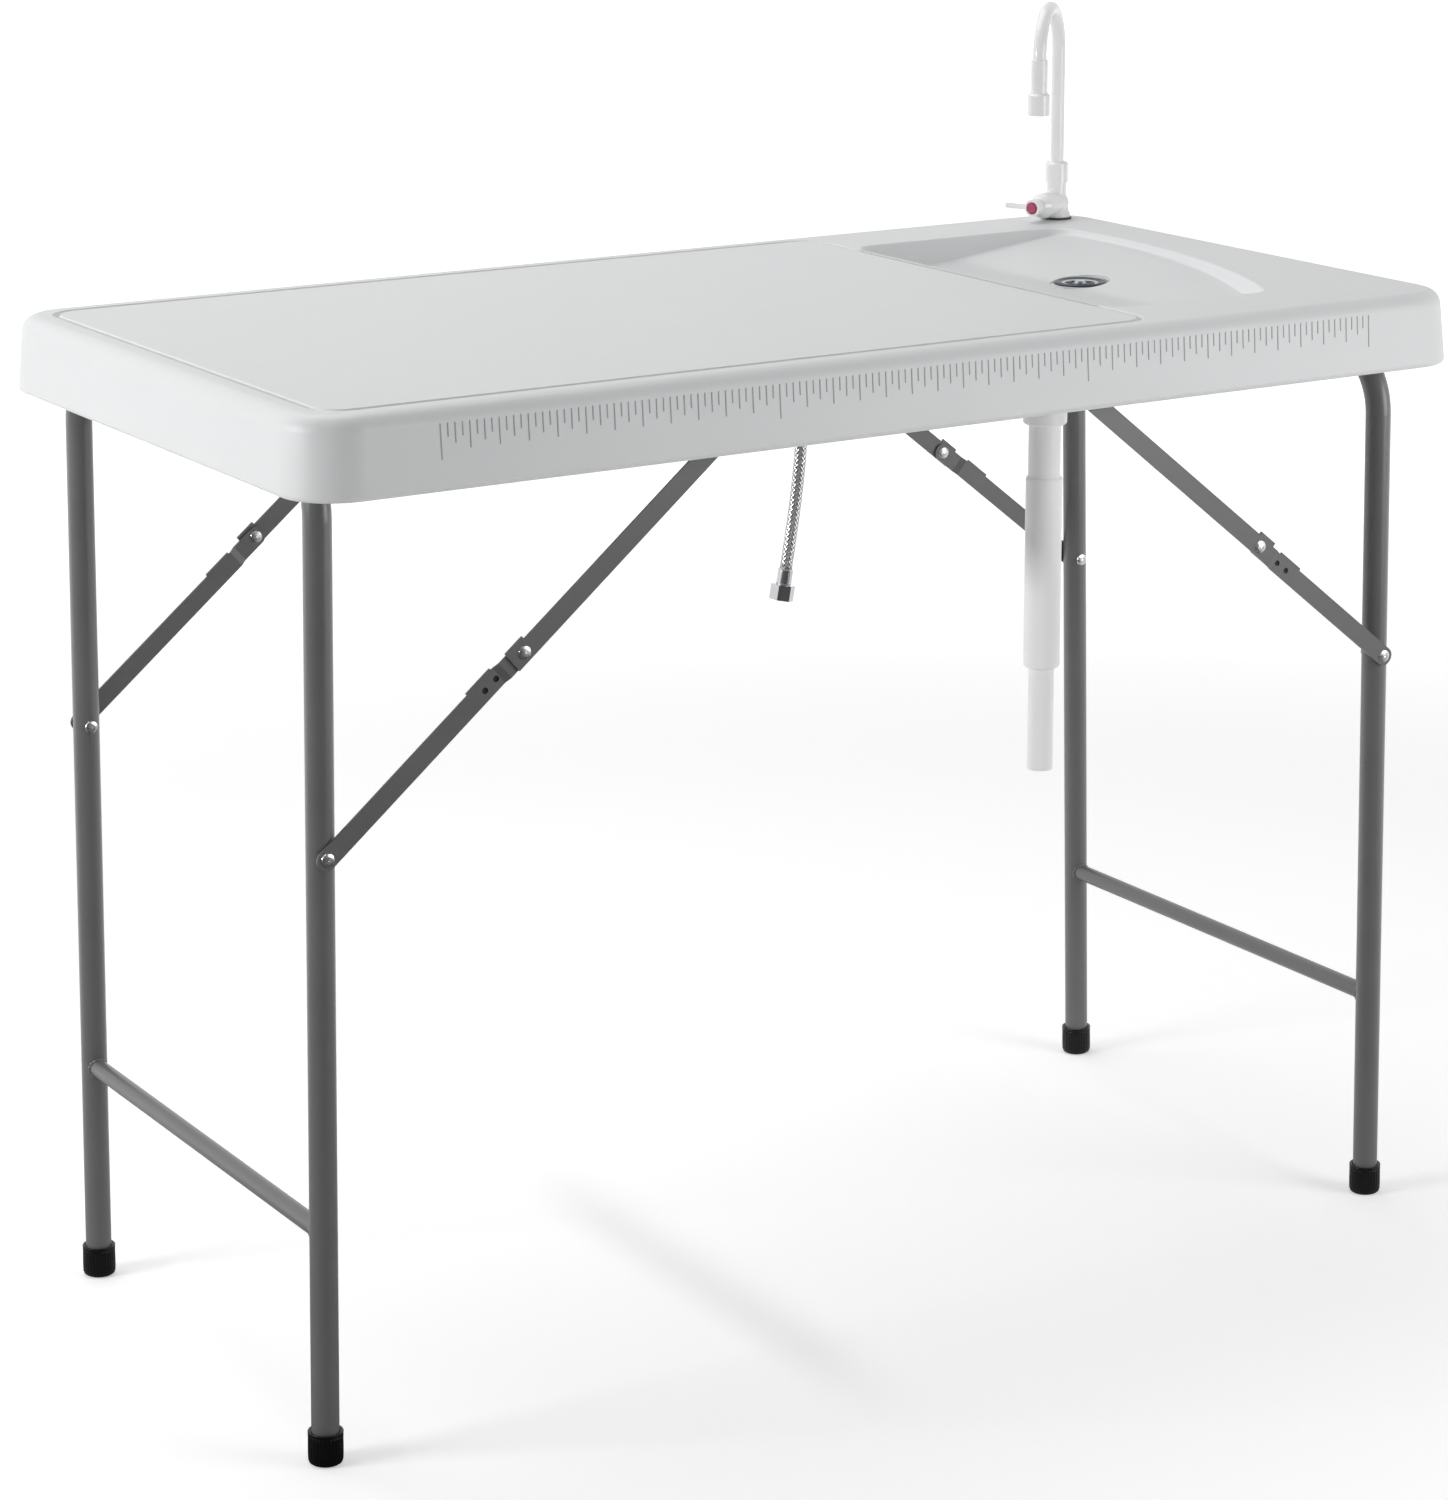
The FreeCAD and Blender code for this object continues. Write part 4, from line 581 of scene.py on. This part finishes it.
# Folding braces: flat steel links, powder coated before they are joined, with domed rivets of
# zinc-plated steel at their ends and at the middle hinge.
link_coat = powder_finish("link_coat", (0.1, 0.1, 0.103), (0.148, 0.148, 0.151), 0.42)
for side in ("left", "right"):
    carry(zinc_plate, side + "_leg_rivets")
    for end in ("front", "back"):
        brace = "%s_%s_" % (side, end)
        carry(link_coat, brace + "upper_link", brace + "lower_link")
        carry(zinc_plate, brace + "hinge_rivet", brace + "hinge_tail")
carry(zinc_plate, "brace_top_rivets")


# Painted shade: a thin dark disc at the bottom of each of the two holes in each short link stands in for
# the shade inside the holes. Each disc moves with its link.
hole_places = {"left": ((-0.3850, 0.6406), (-0.3950, 0.6323)),
               "right": ((0.40635, 0.6367), (0.4165, 0.6286))}
hole_radius = 0.0027
hole_bottom = 0.2448
shade_disc_depth = 0.0004
shade_disc_sides = 24


def make_hole_shade_disc(name, places, way):
    shape = bmesh.new()
    for along, height in places:
        middle = Vector((along, way * (hole_bottom + shade_disc_depth / 2), height))
        lay_over = Matrix.Translation(middle) @ Matrix.Rotation(math.pi / 2, 4, "X")
        bmesh.ops.create_cone(shape, cap_ends=True, segments=shade_disc_sides, radius1=hole_radius,
                              radius2=hole_radius, depth=shade_disc_depth, matrix=lay_over)
    return finished_mesh(name, shape)


hole_shade_finish = rubber_finish("painted_hole_shade", (0.008, 0.008, 0.008), 0.7)
for side, places in hole_places.items():
    for end, way in (("front", -1), ("back", 1)):
        name = "%s_%s_hole_grime" % (side, end)
        painted_shade = new_piece(name, make_hole_shade_disc(name, places, way), hole_shade_finish,
                          "%s_%s_lower" % (side, end))


# Faucet: glossy white moulded plastic. The body stands on a dark gasket and holds a quarter-turn
# valve at its side. A collar nut keeps the swan neck, which turns with the aerator at its end.
streak_share = 0.95
streak_size = 0.014
streak_relief = 0.00025
gloss_blotch = 0.004


def gloss_finish(name, colour, roughness):
    """Glossy moulded plastic, with the faint streaks of its flow in the mould."""
    material = new_material(name, colour, roughness, Coat_Weight=0.25, Coat_Roughness=0.08)
    place = object_place(material)
    flow = grain(place, streak_size, 2)
    darker = tuple(streak_share * part for part in colour)
    feed(material, "Base Color", blend_colours(flow, darker, colour))
    feed(material, "Roughness", grain(place, gloss_blotch, 2) * 0.1 + roughness - 0.05)
    feed(material, "Normal", relief(flow, streak_relief))
    return material


body_voxel = 0.0009
body_rounds = 14
weld_reach = 0.000001


def blended_body():
    """The moulded body with its valve, foot and column run together in soft hollows."""
    shape = bmesh.new()
    shape.from_mesh(nodes["faucet_body"].data)
    shape.transform(nodes["faucet_body"].matrix_world)
    bmesh.ops.remove_doubles(shape, verts=shape.verts, dist=weld_reach)
    rough = bpy.data.objects.new("faucet_body_rough", finished_mesh("faucet_body_rough", shape))
    bpy.context.scene.collection.objects.link(rough)
    blend = rough.modifiers.new("blend", "REMESH")
    blend.mode = "VOXEL"
    blend.voxel_size = body_voxel
    soften = rough.modifiers.new("soften", "SMOOTH")
    soften.factor = 0.5
    soften.iterations = body_rounds
    mesh = bpy.data.meshes.new_from_object(rough.evaluated_get(bpy.context.evaluated_depsgraph_get()))
    mesh.name = "faucet_body_moulded"
    bpy.data.objects.remove(rough)
    for face in mesh.polygons:
        face.use_smooth = True
    return mesh


faucet_white = gloss_finish("faucet_white", (0.9, 0.9, 0.9), 0.22)
faucet_body = new_piece("faucet_body_moulded", blended_body(), faucet_white, "table")
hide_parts("faucet_body")
carry(faucet_white, "spout_collar_nut", "faucet_spout", "faucet_aerator", "faucet_lever",
      "faucet_mounting_nut")
carry(zinc_plate, "shank_washer")
carry(rubber_finish("gasket_rubber", (0.03, 0.03, 0.032), 0.55), "faucet_gasket")
carry(gloss_finish("crimson_plastic", (0.34, 0.018, 0.08), 0.3), "lever_cap")


# Drain: milky polypropylene pipes below the sink, pushed into each other and held by a collar
# nut. A dull steel strainer lies in the step of the sink's floor.
pipe_stretch = (1, 1, 0.2)
pipe_streak = 0.02
pipe_blotch = 0.006
pipe_grain = 0.0015
pipe_relief = 0.00005


def milky_finish():
    """Milky plastic, streaked along the pipe."""
    material = new_material("milky_plastic", (0.95, 0.95, 0.94), 0.34)
    place = object_place(material)
    stretched = place.add("Mapping", None, {"Vector": place, "Scale": pipe_stretch})
    flow = grain(stretched, pipe_streak, 3)
    feed(material, "Base Color", blend_colours(flow, (0.95, 0.955, 0.945), (0.98, 0.98, 0.97)))
    feed(material, "Roughness", grain(place, pipe_blotch, 2) * 0.14 + 0.26)
    feed(material, "Normal", relief(grain(place, pipe_grain, 2), pipe_relief))
    return material


strainer_place = (0.378, 0.018)
strainer_radius = 0.0246
steel_cloud = 0.004
steel_grain = 0.0007
steel_relief = 0.00005
ring_wobble = 0.04
strainer_rings = [(0, (0.5, 0.51, 0.53)), (0.22, (0.42, 0.43, 0.45)), (0.26, (0.014, 0.016, 0.02)),
                  (0.56, (0.02, 0.024, 0.03)), (0.6, (0.5, 0.52, 0.55)), (0.68, (0.42, 0.44, 0.47)),
                  (0.72, (0.025, 0.032, 0.04)), (1, (0.04, 0.05, 0.06))]


def strainer_finish():
    """Dull steel, coloured in rings by distance from its centre: a light hub, a dark band across its
    slots, a light ring and a dark bluish rim.
    """
    material = new_material("strainer_steel", (0.3, 0.33, 0.38), 0.35, Metallic=1.0)
    place = object_place(material)
    along = place.add("SeparateXYZ", None, {0: place})
    across = along.output(1)
    off_x = along - strainer_place[0]
    off_y = across - strainer_place[1]
    reach = (off_x * off_x + off_y * off_y) ** 0.5 / strainer_radius
    cloud = grain(place, steel_cloud, 4, 0.7)
    ring_reach = reach + (cloud - 0.5) * ring_wobble
    feed(material, "Base Color", ring_reach.add("ValToRGB", {"stops": strainer_rings}, {"Fac": ring_reach}))
    feed(material, "Roughness", cloud * 0.3 + 0.2)
    feed(material, "Normal", relief(grain(place, steel_grain, 2), steel_relief))
    return material


carry(milky_finish(), "drain_body", "drain_lock_nut", "drain_coupling_nut", "drain_tailpiece",
      "drain_sleeve", "drain_end_tube")
carry(strainer_finish(), "drain_strainer")


# Stage: a plain pale floor that glows nearly white and keeps the object's shadow. White light
# comes from a strip lamp low at the left, a broad one above, a weaker one at the right and the
# sky. Mirrored, the floor and the sky are dark toward the camera, which keeps the legs grey.
floor_half = 30
near_glow = 0.42
far_glow = 1
near_reach = 1.5
far_reach = 4
toward_camera = (-0.52, -0.84, 0.15)
mirror_start = -0.6
mirror_end = 0.5
mirror_loss = 0.85
floor_shape = bmesh.new()
bmesh.ops.create_grid(floor_shape, x_segments=1, y_segments=1, size=floor_half)
floor_mesh = finished_mesh("floor", floor_shape)
floor_material = new_material("floor", (0.8, 0.8, 0.8), 0.9)
floor_paths = signals(floor_material).add("LightPath")
floor_shader = floor_material.node_tree.nodes["Principled BSDF"]
floor_shader.inputs["Emission Color"].default_value = (1, 1, 1, 1)
floor_place = floor_paths.add("TexCoord", output="Object")
away = floor_place.add("VectorMath", {"operation": "LENGTH"}, {0: floor_place}, "Value")
glow = away.add("MapRange", {"interpolation_type": "SMOOTHSTEP"},
                {"Value": away, "From Min": near_reach, "From Max": far_reach,
                 "To Min": near_glow, "To Max": far_glow})
nearness = floor_place.add("VectorMath", {"operation": "DOT_PRODUCT"},
                           {0: floor_place, 1: toward_camera}, "Value")
behind = nearness.add("MapRange", {"interpolation_type": "SMOOTHSTEP"},
                      {"Value": nearness, "From Min": mirror_start, "From Max": mirror_end,
                       "To Min": 1, "To Max": 0})
floor_glossy = floor_paths.output("Is Glossy Ray")
seen = floor_paths + floor_glossy * behind
floor_material.node_tree.links.new((seen * glow).socket, floor_shader.inputs["Emission Strength"])
floor_shade = 1 - floor_glossy * (1 - behind) * mirror_loss
feed(floor_material, "Base Color", blend_colours(floor_shade, (0, 0, 0), (0.8, 0.8, 0.8)))
floor_mesh.materials.append(floor_material)
floor = bpy.data.objects.new("floor", floor_mesh)
bpy.context.scene.collection.objects.link(floor)

world = bpy.data.worlds.new("sky")
world.use_nodes = True
sky_tree = world.node_tree
sky = sky_tree.nodes["Background"]
paths = Signal(sky_tree).add("LightPath")
glossy = paths.output("Is Glossy Ray")
sky_light = 0.23
front_light = 0.15
front_edge = 0.2
front_core = 0.85
heading = paths.add("TexCoord", output="Generated")
facing = heading.add("VectorMath", {"operation": "DOT_PRODUCT"}, {0: heading, 1: toward_camera},
                     "Value")
mirrored = facing.add("MapRange", {"interpolation_type": "SMOOTHSTEP"},
                      {"Value": facing, "From Min": front_edge, "From Max": front_core, "To Min": 1,
                       "To Max": front_light})
sky_tree.links.new((paths * (1 - sky_light) + sky_light + glossy * (mirrored - sky_light)).socket,
                   sky.inputs["Strength"])
sky.inputs["Color"].default_value = (1, 1, 1, 1)
bpy.context.scene.world = world

lamps = {"left_lamp": ((-3.6, 0.5, 1.56), (1.4, 0.15), 66),
         "top_lamp": ((-0.2, 1.2, 3.4), (2.6, 2.6), 45),
         "right_lamp": ((1.8, -2.4, 1.05), (1.5, 1.5), 36)}
lamp_target = Vector((0, 0, 0.7))
for name, (place, (width, height), power) in lamps.items():
    lamp = bpy.data.lights.new(name, "AREA")
    lamp.shape = "RECTANGLE"
    lamp.size = width
    lamp.size_y = height
    lamp.energy = power
    lamp_object = bpy.data.objects.new(name, lamp)
    lamp_object.location = place
    lamp_object.rotation_euler = (lamp_target - Vector(place)).to_track_quat("-Z", "Y").to_euler()
    bpy.context.scene.collection.objects.link(lamp_object)

bpy.context.scene.view_settings.view_transform = "Standard"
